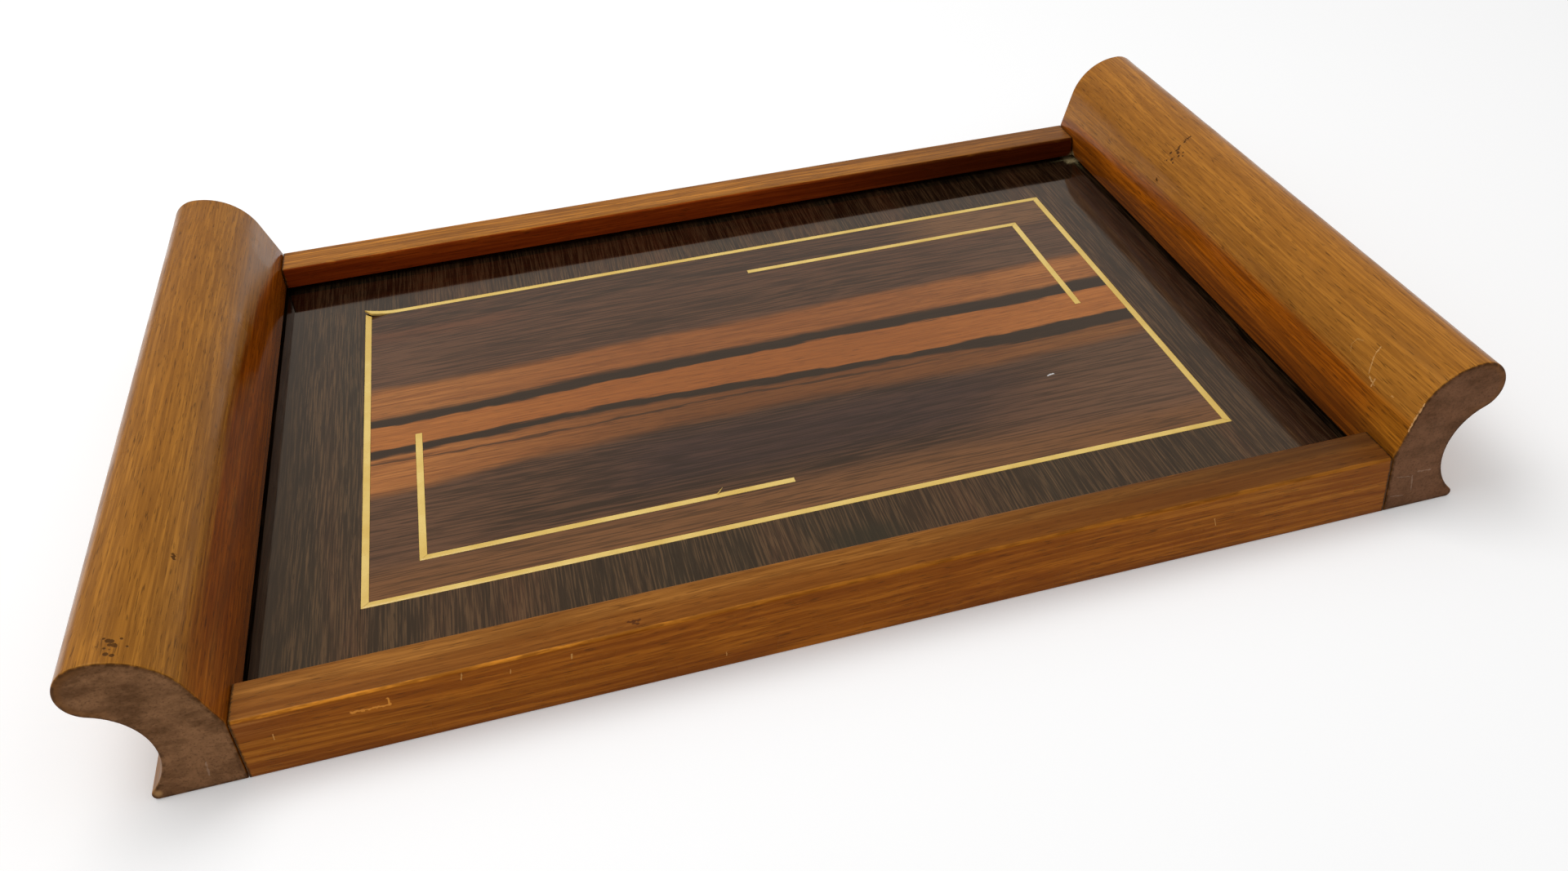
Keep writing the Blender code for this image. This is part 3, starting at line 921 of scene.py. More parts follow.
# %% [markdown]
# Marks are given as lists of stretches in millimetres, which is how they are read off a surface.
# One function places a scratch group for each stretch and keeps the strongest, and one noise
# for the whole surface makes them all ragged.

# %% Draw a list of scratches
RAGGED_FINENESS = 900.0
WIDEST, THINNEST = 0.6, 1.9


def raggedness(tree, place):
    """What the distance to a scratch is multiplied by: little makes it wide, much makes it thin."""
    return step(tree, cloud(tree, place, RAGGED_FINENESS, 1.0), 0.35, 0.65, WIDEST, THINNEST)


def scratched(tree, place, ragged, stretches, width):
    """How much of the surface the given stretches cover. All sizes are in millimetres."""
    cover = 0.0
    for start, end in stretches:
        ends = {"Start": [v * MM for v in start], "End": [v * MM for v in end]}
        drawn = use_group(tree, scratch_group, Place=place, Ragged=ragged, Width=width * MM, **ends)
        cover = reckon(tree, "MAXIMUM", drawn["Line"], cover)
    return cover


print("scratches from", WIDEST, "to", THINNEST, "times as ragged")

# %% [markdown]
# Dust gathers where a cloth doesn't reach: along the foot of the rear rail and of the right
# handle, and most of all in the corner between them, where it has felted into a pale clump. The
# group measures how far a place is from those two walls and from the corner, and breaks the
# answer up with a rough noise. The clump has a mask of its own, because it is paler.

# %% Group: corner dust
DUST_CORNER = (196.9 * MM, WELL_Y, PANEL_TOP)
DUST_REACH = 26 * MM
WALL_DUST, WALL_DUST_COVER = 2.8 * MM, 0.75
CLUMP_CORE, CLUMP_RIM = 2.5 * MM, 8 * MM
LINT_FINENESS = 900.0
LINT_DEPTH = 1.7
DUST_TONE = (98, 94, 62)
LINT_TONE = (172, 154, 112)

tree, given, result = start_group(
    "Corner dust", {"Place": NO_PLACE, "Corner": NO_PLACE, "Reach": ("Float", 0.02)}, ["Dust", "Clump"]
)
offset = vector(tree, "SUBTRACT", given["Place"], given["Corner"])
apart = add(tree, "SeparateXYZ", {0: offset}).outputs
from_handle, from_rail, over_panel = (without_sign(tree, apart[axis]) for axis in "XYZ")
from_wall = total(tree, reckon(tree, "MINIMUM", from_handle, from_rail), over_panel)
from_corner = reckon(tree, "MAXIMUM", from_handle, from_rail)
near_wall = step(tree, from_wall, 0.0, WALL_DUST, WALL_DUST_COVER, 0.0)
near_corner = step(tree, reckon(tree, "DIVIDE", from_corner, given["Reach"]), 0.1, 1.0, 1.0, 0.0)
clump = step(tree, total(tree, from_corner, over_panel), CLUMP_CORE, CLUMP_RIM, 1.0, 0.0)
gathered = reckon(tree, "MAXIMUM", product(tree, near_wall, near_corner), clump)
lint = cloud(tree, given["Place"], LINT_FINENESS, 4.0, 0.8)
dusty = step(tree, total(tree, gathered, swing(tree, lint, LINT_DEPTH)), 0.2, 0.9)
thin = step(tree, lint, 0.32, 0.6, 0.5, 1.0)
feed(tree, result["Dust"], product(tree, dusty, gathered, thin))
feed(tree, result["Clump"], clump)
dust_group = tree
count_nodes(tree, "corner dust")


def dust_over(tree, place, colour):
    """Lays the corner dust over a colour."""
    dust = use_group(tree, dust_group, Place=place, Corner=DUST_CORNER, Reach=DUST_REACH)
    return mix(tree, dust["Dust"], colour, mix(tree, dust["Clump"], tone(*DUST_TONE), tone(*LINT_TONE)))


# %% [markdown]
# Old varnish is never level. It has sunk a little over the grain, it carries a slow orange
# peel, and its gloss differs from place to place. One group gives a mottle for the roughness
# and a height for the bump, so that reflections break up gently.

# %% Group: old varnish
MOTTLE_FINENESS, PEEL_FINENESS = 38.0, 260.0
PEEL_SHARE = 0.3

tree, given, result = start_group(
    "Old varnish",
    {"Place": NO_PLACE, "Grain": ("Float", 0.5), "Sunk": ("Float", 0.5)},
    ["Mottle", "Height"],
)
mottle = cloud(tree, given["Place"], MOTTLE_FINENESS, 3.0, 0.6)
peel = cloud(tree, given["Place"], PEEL_FINENESS, 1.0)
sunk = product(tree, given["Grain"], given["Sunk"])
feed(tree, result["Mottle"], step(tree, mottle, 0.35, 0.65))
feed(tree, result["Height"], total(tree, product(tree, peel, PEEL_SHARE), sunk))
varnish_group = tree
count_nodes(tree, "old varnish")

# %% [markdown]
# Every wood starts the same way: a Principled shader, the place on the object in metres, and
# the grain's own axes, so that the first axis always runs along the grain. Every wood ends the
# same way too, with its colour, its roughness and a bump. The numbers that hold for a whole
# surface, such as how strongly it mirrors and the warm tint that the fibres give to what it
# mirrors, are typed straight into the shader.

# %% Start and end of every wood
AXIS_ORDER = {"X": "XYZ", "Y": "YXZ"}
WOODS = {}


def start_wood(name, grain_axis, shader_values):
    """A material: its nodes and shader, places on the object, and the place along the grain."""
    material = bpy.data.materials.new(name)
    material.use_nodes = True
    WOODS[name] = material
    tree = material.node_tree
    shader = tree.nodes["Principled BSDF"]
    for label, value in shader_values.items():
        shader.inputs[label].default_value = value
    spot = add(tree, "TexCoord").outputs
    parts = add(tree, "SeparateXYZ", {0: spot["Object"]}).outputs
    ordered = {letter: parts[axis] for letter, axis in zip("XYZ", AXIS_ORDER[grain_axis])}
    grain_place = add(tree, "CombineXYZ", ordered).outputs[0]
    return tree, shader, spot, parts, grain_place


def finish_wood(tree, shader, colour, rough, height, depth):
    """Feeds the shader. A height of 1 stands out by the depth, in metres."""
    feed(tree, shader.inputs["Base Color"], colour)
    feed(tree, shader.inputs["Roughness"], rough)
    bump = add(tree, "Bump", {"Strength": 1.0, "Distance": depth, "Height": height}).outputs[0]
    feed(tree, shader.inputs["Normal"], bump)
    count_nodes(tree, "this wood")


print("grain runs along", " or ".join(AXIS_ORDER))

# %% [markdown]
# The handles are a mid brown wood under an amber varnish, rather like walnut. The grain runs
# from front to rear in close fine lines. Low down on the inner faces the wood is painted in a
# dark red shade, with a clear line where that painted shade ends. Each handle has its own such
# line, drawn freehand from front to rear.

# %% The painted shade line
HANDLE_SPAN = 155
SHADE_LINE_REACH = 12
SHADE_LINE_MIDDLE = 35
LEFT_SHADE_LINE = [(-155, 38.5), (-120, 41), (-60, 41.2), (0, 40.6), (60, 37.8), (120, 31.7), (155, 27)]
RIGHT_SHADE_LINE = [(-155, 38), (-120, 37.8), (-60, 37.3), (0, 36.4), (60, 35), (120, 32.2), (155, 28)]
NOSE_INNER_X = JOINT_X + HANDLE_OUT - 2 * NOSE_RADIUS
SHADE_LINE_RAGGED = 1.8 * MM
SHADE_LINE_SOFT = (-1.4 * MM, 2.6 * MM)
LEFT_FRONT, LEFT_FRONT_SOFTER = (-0.09, -0.125), 1.8
MIDDLE_HALF = 50 * MM


def right_handle_mask(tree, parts):
    """0 on the left handle and 1 on the right one."""
    return step(tree, parts["X"], -MIDDLE_HALF, MIDDLE_HALF)


# The painted shade band: the dark red shade laid low on the inner faces of the handles.
def painted_shade_mask(tree, parts, ragged):
    """1 below the line on the inner face of each handle, 0 above it. It blurs at the left front."""
    left_line, right_line = (
        drawn_line(tree, parts["Y"], HANDLE_SPAN, points, SHADE_LINE_MIDDLE, SHADE_LINE_REACH)
        for points in (LEFT_SHADE_LINE, RIGHT_SHADE_LINE)
    )
    right = right_handle_mask(tree, parts)
    line = total(
        tree,
        product(tree, left_line, rest_of(tree, right)),
        product(tree, right_line, right),
    )
    height = total(tree, parts["Z"], product(tree, ragged, SHADE_LINE_RAGGED))
    over = reckon(tree, "SUBTRACT", height, line)
    left_front = product(tree, step(tree, parts["Y"], *LEFT_FRONT), rest_of(tree, right))
    softer = total(tree, 1.0, product(tree, left_front, LEFT_FRONT_SOFTER))
    outwards = without_sign(tree, parts["X"])
    inner = step(tree, outwards, NOSE_INNER_X - 4 * MM, NOSE_INNER_X, 1.0, 0.0)
    return product(tree, step(tree, reckon(tree, "DIVIDE", over, softer), *SHADE_LINE_SOFT, 1.0, 0.0), inner)


print("sheltered up to", LEFT_SHADE_LINE[0][1], "mm at the front and", LEFT_SHADE_LINE[-1][1], "mm at the rear")

# %% [markdown]
# Three tones make the wood: dark for the lines, and mid and light for the broad bands. They
# differ a little between the two handles and a lot between the open tones and the painted shade
# below the line. At the very front the painted shade is lighter.

# %% Handle tones
SHADE_EASES_AT_LEFT_FRONT = (-0.11, -0.15)
SHADE_EASES_AT_RIGHT_FRONT = (-0.118, -0.15)
OPEN_TONES = {
    "dark": ((128, 78, 26), (138, 84, 28)),
    "mid": ((176, 114, 38), (181, 116, 39)),
    "light": ((192, 128, 48), (204, 136, 52)),
}
PAINTED_SHADE_TONES = {
    "dark": ((98, 43, 4), (100, 47, 7)),
    "mid": ((158, 77, 7), (168, 86, 12)),
    "light": ((180, 96, 12), (192, 104, 18)),
}


def handle_tones(tree, parts, painted_shade, on_right):
    """Dark, mid and light, as they are at each place."""
    tones = {}
    for name in ("dark", "mid", "light"):
        plain, deep = (
            mix(tree, on_right, tone(*table[name][0]), tone(*table[name][1]))
            for table in (OPEN_TONES, PAINTED_SHADE_TONES)
        )
        # deep is the painted shade tone, laid below the line
        tones[name] = mix(tree, painted_shade, plain, deep)
    left = product(
        tree, painted_shade, step(tree, parts["Y"], *SHADE_EASES_AT_LEFT_FRONT), rest_of(tree, on_right)
    )
    right = product(tree, painted_shade, on_right, step(tree, parts["Y"], *SHADE_EASES_AT_RIGHT_FRONT))
    eased_shade_right = product(tree, right, 0.8)
    dark = painted(
        tree, tones["dark"], (product(tree, left, 0.6), tone(124, 62, 12)), (eased_shade_right, tone(122, 70, 14))
    )
    mid = painted(
        tree, tones["mid"], (product(tree, left, 0.8), tone(186, 106, 26)), (eased_shade_right, tone(178, 108, 24))
    )
    light = mix(tree, eased_shade_right, tones["light"], tone(194, 124, 34))
    return dark, mid, light


print("open mid tones, left and right:", *OPEN_TONES["mid"])

# %% [markdown]
# On the two ends the same wood shows its end grain: duller, browner, with soft clouds and fine
# dots instead of lines. Round the nose the polish has crept over the end, in a soft band, and
# a few scuffs cross the rest. The rim between end and side has gone dark.

# %% The ends of the handles
END_SCUFFS = [
    ((-206.4, -155, 10.8), (-206.9, -155, 5.1)),
    ((199.9, -155, 14.6), (205.0, -155, 13.8)),
    ((208.1, -155, 15.3), (213.2, -155, 14.9)),
    ((206.2, -155, 13.8), (206.8, -155, 7.2)),
    ((198.6, -155, 6.2), (203.6, -155, 5.6)),
]
NOSE_MIDDLE = (JOINT_X + HANDLE_OUT - NOSE_RADIUS, 0, HANDLE_TOP - NOSE_RADIUS)
POLISH_RIM = (0.0065, 0.0098)
PALER_BELOW = (0.03, 0.012)


def end_grain(tree, place, parts, on_right, ragged):
    """The colour of the handles' front and rear ends."""
    clouds = cloud(tree, stretched(tree, place, 70, 1, 130), 1.0, 4.0, 0.7)
    lower = step(tree, parts["Z"], *PALER_BELOW, 0.0, 0.4)
    clouded = reckon(tree, "MINIMUM", total(tree, step(tree, clouds, 0.34, 0.66), lower), 1.0)
    dark = mix(tree, on_right, tone(94, 60, 36), tone(95, 60, 38))
    light = mix(tree, on_right, tone(146, 103, 70), tone(128, 86, 60))
    dots = cloud(tree, stretched(tree, place, 1300, 1, 1300), 1.0, 1.0)

    outwards = without_sign(tree, parts["X"])
    on_end = add(tree, "CombineXYZ", {"X": outwards, "Z": parts["Z"]}).outputs[0]
    from_nose = vector(tree, "DISTANCE", on_end, NOSE_MIDDLE)
    beyond = step(tree, outwards, NOSE_MIDDLE[0] - 4 * MM, NOSE_MIDDLE[0] + 4 * MM)
    crept = product(tree, step(tree, from_nose, *POLISH_RIM), beyond, 0.7)
    scuffs = scratched(tree, place, ragged, END_SCUFFS, 0.14)
    return painted(
        tree,
        mix(tree, clouded, dark, light),
        (step(tree, dots, 0.5, 0.75, 0.0, 0.45), tone(62, 38, 24)),
        (crept, tone(126, 78, 34)),
        (product(tree, scuffs, 0.32), tone(190, 162, 140)),
    )


def end_rim(tree, place, across):
    """How dark the rim between an end and the side is. across is how far a face looks endways."""
    edge_value = add(tree, "Attribute", attribute_name="edge").outputs["Fac"]
    broken = step(tree, cloud(tree, place, 420.0, 2.0), 0.4, 0.6, 0.25, 0.8)
    return product(tree, step(tree, across, 0.2, 0.5), edge_value, broken)


print(len(END_SCUFFS), "scuffs on the ends")

# %% [markdown]
# A used tray has its own small history, and a copy of it needs the same marks in the same
# places. Each mark is a short stretch between two points on the surface, in millimetres: a
# curved scratch, a cross and a fainter curve on the right handle, a rubbed arris beside them,
# a few dark specks, and two clusters of worm holes. A bead of old glue sits at the left foot.

# %% Where the handles are marked
LIGHT_SCRATCHES = [
    ((208.0, -122.5, 48.9), (206.3, -122.6, 46.7)),
    ((206.3, -122.6, 46.7), (203.8, -124.3, 42.5)),
    ((203.8, -124.3, 42.5), (202.8, -125.1, 40.1)),
    ((202.6, -126.0, 39.5), (202.1, -130.3, 38.2)),
    ((202.9, -129.3, 40.2), (201.8, -129.0, 37.3)),
    ((202.7, -140.3, 39.9), (202.7, -140.9, 39.8)),
]
FAINT_SCRATCHES = [
    ((203.4, -111.6, 41.6), (204.4, -110.1, 43.7)),
    ((204.4, -110.1, 43.7), (205.9, -111.2, 46.2)),
    ((205.9, -111.2, 46.2), (206.4, -113.8, 46.9)),
]
RUBBED_ARRIS = [
    ((200.8, -154.7, 34.6), (202.8, -154.7, 39.8)),
    ((202.8, -154.7, 39.8), (205.4, -154.7, 45.3)),
]
DARK_SPECKS = [
    ((-209.4, -103.2, 50.3), (-209.4, -101.7, 50.3)),
    ((219.2, 53.6, 56.2), (217.8, 53.3, 55.7)),
    ((216.4, 52.8, 55.1), (215.6, 52.4, 54.7)),
    ((213.2, 51.8, 53.3), (212.4, 51.3, 52.8)),
    ((202.1, 51.6, 38.1), (202.1, 50.9, 38.1)),
]
WORM_CLUSTERS = {
    "left": ((-220.0 * MM, -147.6 * MM, 56.1 * MM), 7.2 * MM),
    "right": ((208.9 * MM, 48.2 * MM, 49.8 * MM), 7.6 * MM),
}
FOOT_BEAD = (-222.4 * MM, -154.0 * MM, 2.6 * MM)
print(len(LIGHT_SCRATCHES + FAINT_SCRATCHES + RUBBED_ARRIS + DARK_SPECKS), "marks on the handles")

# %% [markdown]
# Light scratches go through the varnish and show pale wood. Holes and specks are dark, and they
# also sink the surface and take its gloss, so their mask is kept for the roughness and the bump.

# %% Lay the marks on the handles
HANDLE_SCRATCHES = (
    (LIGHT_SCRATCHES, 0.17, 0.8, (214, 162, 100)),
    (FAINT_SCRATCHES, 0.13, 0.4, (206, 158, 92)),
    (RUBBED_ARRIS, 0.15, 0.8, (228, 172, 112)),
)
SPECK_WIDTH = 0.42


def handle_holes(tree, place, ragged):
    """Worm holes and dark specks."""
    holes = scratched(tree, place, ragged, DARK_SPECKS, SPECK_WIDTH)
    for middle, reach in WORM_CLUSTERS.values():
        pits = use_group(tree, pit_group, Place=place, Middle=middle, Reach=reach)["Pit"]
        holes = reckon(tree, "MAXIMUM", holes, pits)
    return holes


def handle_marks(tree, place, ragged, colour, holes):
    """Lays the scratches, the holes and the bead of glue over the colour of the handles."""
    for stretches, width, cover, shade in HANDLE_SCRATCHES:
        drawn = scratched(tree, place, ragged, stretches, width)
        colour = mix(tree, product(tree, drawn, cover), colour, tone(*shade))
    from_bead = vector(tree, "DISTANCE", place, FOOT_BEAD)
    return painted(
        tree,
        colour,
        (product(tree, holes, 0.8), tone(52, 24, 8)),
        (step(tree, from_bead, 0.9 * MM, 2 * MM, 0.7, 0.0), tone(200, 154, 98)),
    )


print(len(HANDLE_SCRATCHES), "kinds of scratches")

# %% [markdown]
# Now the handle's wood is put together. The ends are found by the direction of the surface, so
# one material does the whole handle. Below the painted shade line the varnish is clearer and
# glossier. Low on the right handle's inner face, at its foot, a darker painted shade lies in
# streaks.

# %% Handle wood
AMBER_GLOSS = {"IOR": 1.45, "Specular IOR Level": 0.2, "Specular Tint": (1.0, 0.62, 0.14, 1.0)}
VARNISH_DEPTH = 0.015 * MM
FOOT_SHADE_BELOW, FOOT_SHADE_INSIDE = (0.032, 0.016), (0.215, 0.205)


def make_handle_wood():
    tree, shader, spot, parts, grain_place = start_wood("handle_wood", "Y", AMBER_GLOSS)
    place = spot["Object"]
    across = without_sign(tree, add(tree, "SeparateXYZ", {0: spot["Normal"]}).outputs["Y"])
    grain = use_group(tree, grain_group, Place=grain_place, Fineness=1.5, Wander=0.0022, Seed=0.35)
    ragged = raggedness(tree, place)
    # painted shade: the dark red band low on the inner faces
    painted_shade = painted_shade_mask(tree, parts, grain["Streaks"])
    on_right = right_handle_mask(tree, parts)
    dark, mid, light = handle_tones(tree, parts, painted_shade, on_right)

    # painted shade low on the right handle's inner face, at its foot by the panel
    low = step(tree, parts["Z"], *FOOT_SHADE_BELOW)
    inwards = step(tree, parts["X"], *FOOT_SHADE_INSIDE)
    streaky = step(tree, grain["Streaks"], 0.2, 0.8, 0.75, 0.3)
    # rubbed arrises: partly wear, partly a painted highlight
    wear_and_highlight = use_group(tree, wear_and_highlight_group, Place=grain_place, Amount=0.4)["Wear"]
    colour = painted(
        tree,
        mix(tree, grain["Bands"], mid, light),
        (product(tree, on_right, low, inwards, streaky), tone(58, 28, 8)),
        (step(tree, grain["Streaks"], 0.0, 1.0, 0.45, 0.0), dark),
        (step(tree, grain["Lines"], 0.1, 0.9, 0.58, 0.0), dark),
        (product(tree, grain["Fibres"], 0.3), dark),
        (product(tree, grain["Pores"], 0.55), tone(60, 32, 10)),
        (product(tree, wear_and_highlight, 0.3), tone(170, 112, 44)),
    )
    ends = step(tree, across, 0.6, 0.85)
    colour = mix(tree, ends, colour, end_grain(tree, place, parts, on_right, ragged))
    colour = mix(tree, end_rim(tree, place, across), colour, tone(66, 38, 20))
    holes = handle_holes(tree, place, ragged)
    colour = handle_marks(tree, place, ragged, colour, holes)
    colour = dust_over(tree, place, colour)

    varnish = use_group(tree, varnish_group, Place=place, Grain=grain["Fibres"], Sunk=0.4)
    rough = step(tree, varnish["Mottle"], 0.0, 1.0, 0.22, 0.33)
    rough = reckon(tree, "SUBTRACT", rough, product(tree, painted_shade, 0.13))
    rough = total(tree, rough, product(tree, ends, 0.25), product(tree, wear_and_highlight, 0.1), product(tree, holes, 0.3))
    height = total(tree, varnish["Height"], product(tree, holes, -6.0))
    finish_wood(tree, shader, colour, rough, height, VARNISH_DEPTH)


make_handle_wood()

# %% [markdown]
# The rails are a redder piece of the same wood with the grain along their length. Their tops
# are faded and painted lighter, as painted light and sheen, most of all the rear one, while the
# rear rail's inner face is painted in a dark red shade. The front rail pales at its left end and
# darkens to the right on top. Low on its outer face it is painted lighter, as painted light.

# %% Rail tones
FRESH_FACE = (172, 96, 22)
FADED_LIT_FRONT_TOP = (156, 98, 38)
FADED_LIT_REAR_TOP = (200, 125, 40)
RIGHT_PART, LEFT_END = (0.06, 0.17), (-0.172, -0.197)
LIT_LOW_ON_FACE = (0.018, 0.002)


def rail_tones(tree, parts, faded_and_lit, rear, shade):
    """Dark, mid and light, as they are at each place. faded is 1 on the tops of the rails."""
    upright = rest_of(tree, faded_and_lit)
    right_side = product(tree, step(tree, parts["X"], *RIGHT_PART), upright)
    left_side = product(tree, step(tree, parts["X"], *LEFT_END), upright)
    # painted light low on the front rail's outer face
    low = step(tree, parts["Z"], *LIT_LOW_ON_FACE, 0.0, 0.35)
    dark = mix(tree, faded_and_lit, tone(118, 52, 2), tone(112, 62, 16))
    # tops: faded, and painted lighter as painted light and sheen
    top_mid = mix(tree, rear, tone(*FADED_LIT_FRONT_TOP), tone(*FADED_LIT_REAR_TOP))
    top_light = mix(tree, rear, tone(174, 112, 46), tone(212, 137, 48))
    light = mix(tree, faded_and_lit, tone(188, 114, 30), top_light)
    mid = painted(
        tree,
        mix(tree, faded_and_lit, tone(*FRESH_FACE), top_mid),
        (product(tree, right_side, 0.7), tone(176, 112, 40)),
        (product(tree, left_side, 0.5), tone(176, 122, 70)),
        (product(tree, low, rest_of(tree, rear)), tone(206, 118, 30)),
        (shade, tone(152, 58, 12)),
    )
    # painted shade on the rear rail's inner face
    dark = mix(tree, shade, dark, tone(112, 34, 5))
    light = mix(tree, shade, light, tone(166, 70, 18))
    return dark, mid, light


print("rail faces", FRESH_FACE, "fade to", FADED_LIT_FRONT_TOP, "and", FADED_LIT_REAR_TOP, "on top")

# %% [markdown]
# The front rail is lighter along its outer top arris: partly wear, where the varnish has gone
# and lighter wood shows, and partly a painted highlight. It also has a dark knot fleck on top, a
# long dent with a tick at its end and a few short nicks. At each end a dark line of old glue
# marks the joint with the handle.

# %% Where the rails are marked
RAIL_NICKS = [
    ((-128.0, -154.9, 23.2), (-128.6, -155, 20.3)),
    ((-94.5, -155, 20.6), (-94.8, -155, 18.6)),
    ((-113.6, -155, 20.0), (-113.9, -155, 18.3)),
    ((-185.7, -155, 15.7), (-185.8, -155, 13.6)),
    ((-46.4, -155, 6.0), (-46.4, -155, 4.6)),
    ((128.0, -155, 15.0), (128.6, -155, 12.0)),
]
RAIL_DENT = [
    ((-162.3, -155, 17.3), (-151.0, -155, 17.0)),
    ((-151.0, -155, 17.0), (-150.8, -155, 19.6)),
]
KNOT_FLECK = [
    ((-75.6, -150.4, 24.2), (-73.4, -150.8, 24.2)),
    ((-73.2, -150.2, 24.2), (-72.2, -150.5, 24.2)),
    ((-74.2, -151.6, 24.2), (-72.6, -151.8, 24.2)),
]
print(len(RAIL_NICKS), "nicks,", len(KNOT_FLECK), "strokes in the knot fleck")

# %% [markdown]
# The worn and painted highlight line is strongest at the left and breaks up everywhere. The
# dent's mask is handed in from outside, since the dent also sinks the surface.

# %% Lay the marks on the rails
NICK_WIDTH, FLECK_WIDTH, DENT_WIDTH = 0.13, 0.35, 0.27
SEAM_FROM, SEAM_FULL = RAIL_END - 0.9 * MM, RAIL_END - 0.2 * MM
SEAM_RAGGED = 0.15 * MM
WEAR_FADES = (-0.13, 0.0)


def rail_marks(tree, place, parts, grain_place, ragged, dent, colour):
    """Lays the worn and highlighted arris, the marks and the glue lines over the colour of the rails."""
    to_left = step(tree, parts["X"], *WEAR_FADES, 1.0, 0.3)
    patchy = cloud(tree, stretched(tree, place, 60, 300, 300), 1.0, 3.0, 0.7)
    broken = step(tree, patchy, 0.42, 0.58, 0.3, 1.0)
    # the outer top arris: partly wear, partly a painted highlight
    wear_and_highlight = use_group(tree, wear_and_highlight_group, Place=grain_place, Amount=0.62)["Wear"]
    nicks = scratched(tree, place, ragged, RAIL_NICKS, NICK_WIDTH)
    fleck = scratched(tree, place, ragged, KNOT_FLECK, FLECK_WIDTH)
    towards_end = total(tree, without_sign(tree, parts["X"]), product(tree, ragged, SEAM_RAGGED))
    seam = step(tree, towards_end, SEAM_FROM, SEAM_FULL)
    return painted(
        tree,
        colour,
        (product(tree, wear_and_highlight, to_left, broken, 0.95), tone(226, 142, 46)),
        (product(tree, nicks, 0.75), tone(212, 156, 88)),
        (product(tree, dent, 0.85), tone(232, 150, 58)),
        (product(tree, fleck, 0.75), tone(66, 28, 14)),
        (product(tree, seam, 0.9), tone(26, 12, 5)),
    )


print("glue lines", round((SEAM_FULL - SEAM_FROM) / MM, 1), "mm soft")

# %% [markdown]
# The rail's wood is put together from those tones, the same five layers of grain and the marks.
# Tops, faces and the shaded side are found by the direction of the surface.

# %% Rail wood
BETWEEN_RAILS, NEAR_ARRIS = (0.0, 0.05), (-0.1435, -0.1475)
TOPS_DARKEN, SHADE_DARKENS = (-0.02, 0.19), (0.0, 0.15)


def make_rail_wood():
    tree, shader, spot, parts, grain_place = start_wood("rail_wood", "X", AMBER_GLOSS)
    place = spot["Object"]
    facing = add(tree, "SeparateXYZ", {0: spot["Normal"]}).outputs
    grain = use_group(tree, grain_group, Place=grain_place, Fineness=1.15, Wander=0.003, Seed=1.7)
    ragged = raggedness(tree, place)
    top = step(tree, facing["Z"], 0.3, 0.75)
    rear = step(tree, parts["Y"], *BETWEEN_RAILS)
    # the rear rail's inner face, which is painted in shade
    shade = product(tree, rear, step(tree, facing["Y"], -0.3, -0.7))
    near_arris = product(tree, top, step(tree, parts["Y"], *NEAR_ARRIS))
    # tops: faded, and painted lighter as painted light and sheen
    faded_and_lit = reckon(tree, "SUBTRACT", top, product(tree, near_arris, 0.3))
    dark, mid, light = rail_tones(tree, parts, faded_and_lit, rear, shade)

    to_right = step(tree, parts["X"], *TOPS_DARKEN)
    darker_top = product(tree, faded_and_lit, to_right, rest_of(tree, product(tree, rear, 0.45)))
    # the painted shade on the rear rail's inner face deepens to the right
    darker_side = product(tree, shade, step(tree, parts["X"], *SHADE_DARKENS))
    colour = painted(
        tree,
        mix(tree, grain["Bands"], mid, light),
        (step(tree, grain["Streaks"], 0.0, 1.0, 0.5, 0.0), dark),
        (step(tree, grain["Lines"], 0.1, 0.9, 0.6, 0.0), dark),
        (product(tree, near_arris, 0.35), dark),
        (product(tree, grain["Fibres"], 0.3), dark),
        (product(tree, grain["Pores"], 0.5), tone(56, 26, 6)),
        (product(tree, darker_top, 0.68), tone(60, 34, 18)),
        (product(tree, darker_side, 0.75), tone(34, 8, 2)),
    )
    dent = scratched(tree, place, ragged, RAIL_DENT, DENT_WIDTH)
    colour = rail_marks(tree, place, parts, grain_place, ragged, dent, colour)
    colour = dust_over(tree, place, colour)

    varnish = use_group(tree, varnish_group, Place=place, Grain=grain["Fibres"], Sunk=0.4)
    rough = step(tree, varnish["Mottle"], 0.0, 1.0, 0.22, 0.34)
    height = total(tree, varnish["Height"], product(tree, dent, -2.0))
    finish_wood(tree, shader, colour, rough, height, VARNISH_DEPTH)


make_rail_wood()

# %% [markdown]
# The border is a very dark veneer, laid with its grain from front to rear all round. It is
# French polished, so it mirrors the rails. The polish is clear, but the fibres below it throw
# back a brown gleam of their own, and that is what the specular tint stands for. Beside the
# walls it is painted nearly black, as painted shade and painted dark reflection, and one place
# at the front has a greenish cast.

# %% Border veneer
PANEL_GLOSS = {"IOR": 1.5, "Specular IOR Level": 0.8, "Specular Tint": (1.0, 0.6, 0.3, 1.0)}
POLISH_DEPTH = 0.01 * MM
GREENISH_LEFT, GREENISH_RIGHT, GREENISH_FRONT = (-0.006, 0.004), (0.029, 0.019), (-0.11, -0.12)
SHADE_BY_LEFT_WALL, SHADE_BY_RIGHT_WALL, SHADE_BY_REAR_WALL = (-0.179, -0.1965), (0.174, 0.186), (0.11, 0.118)


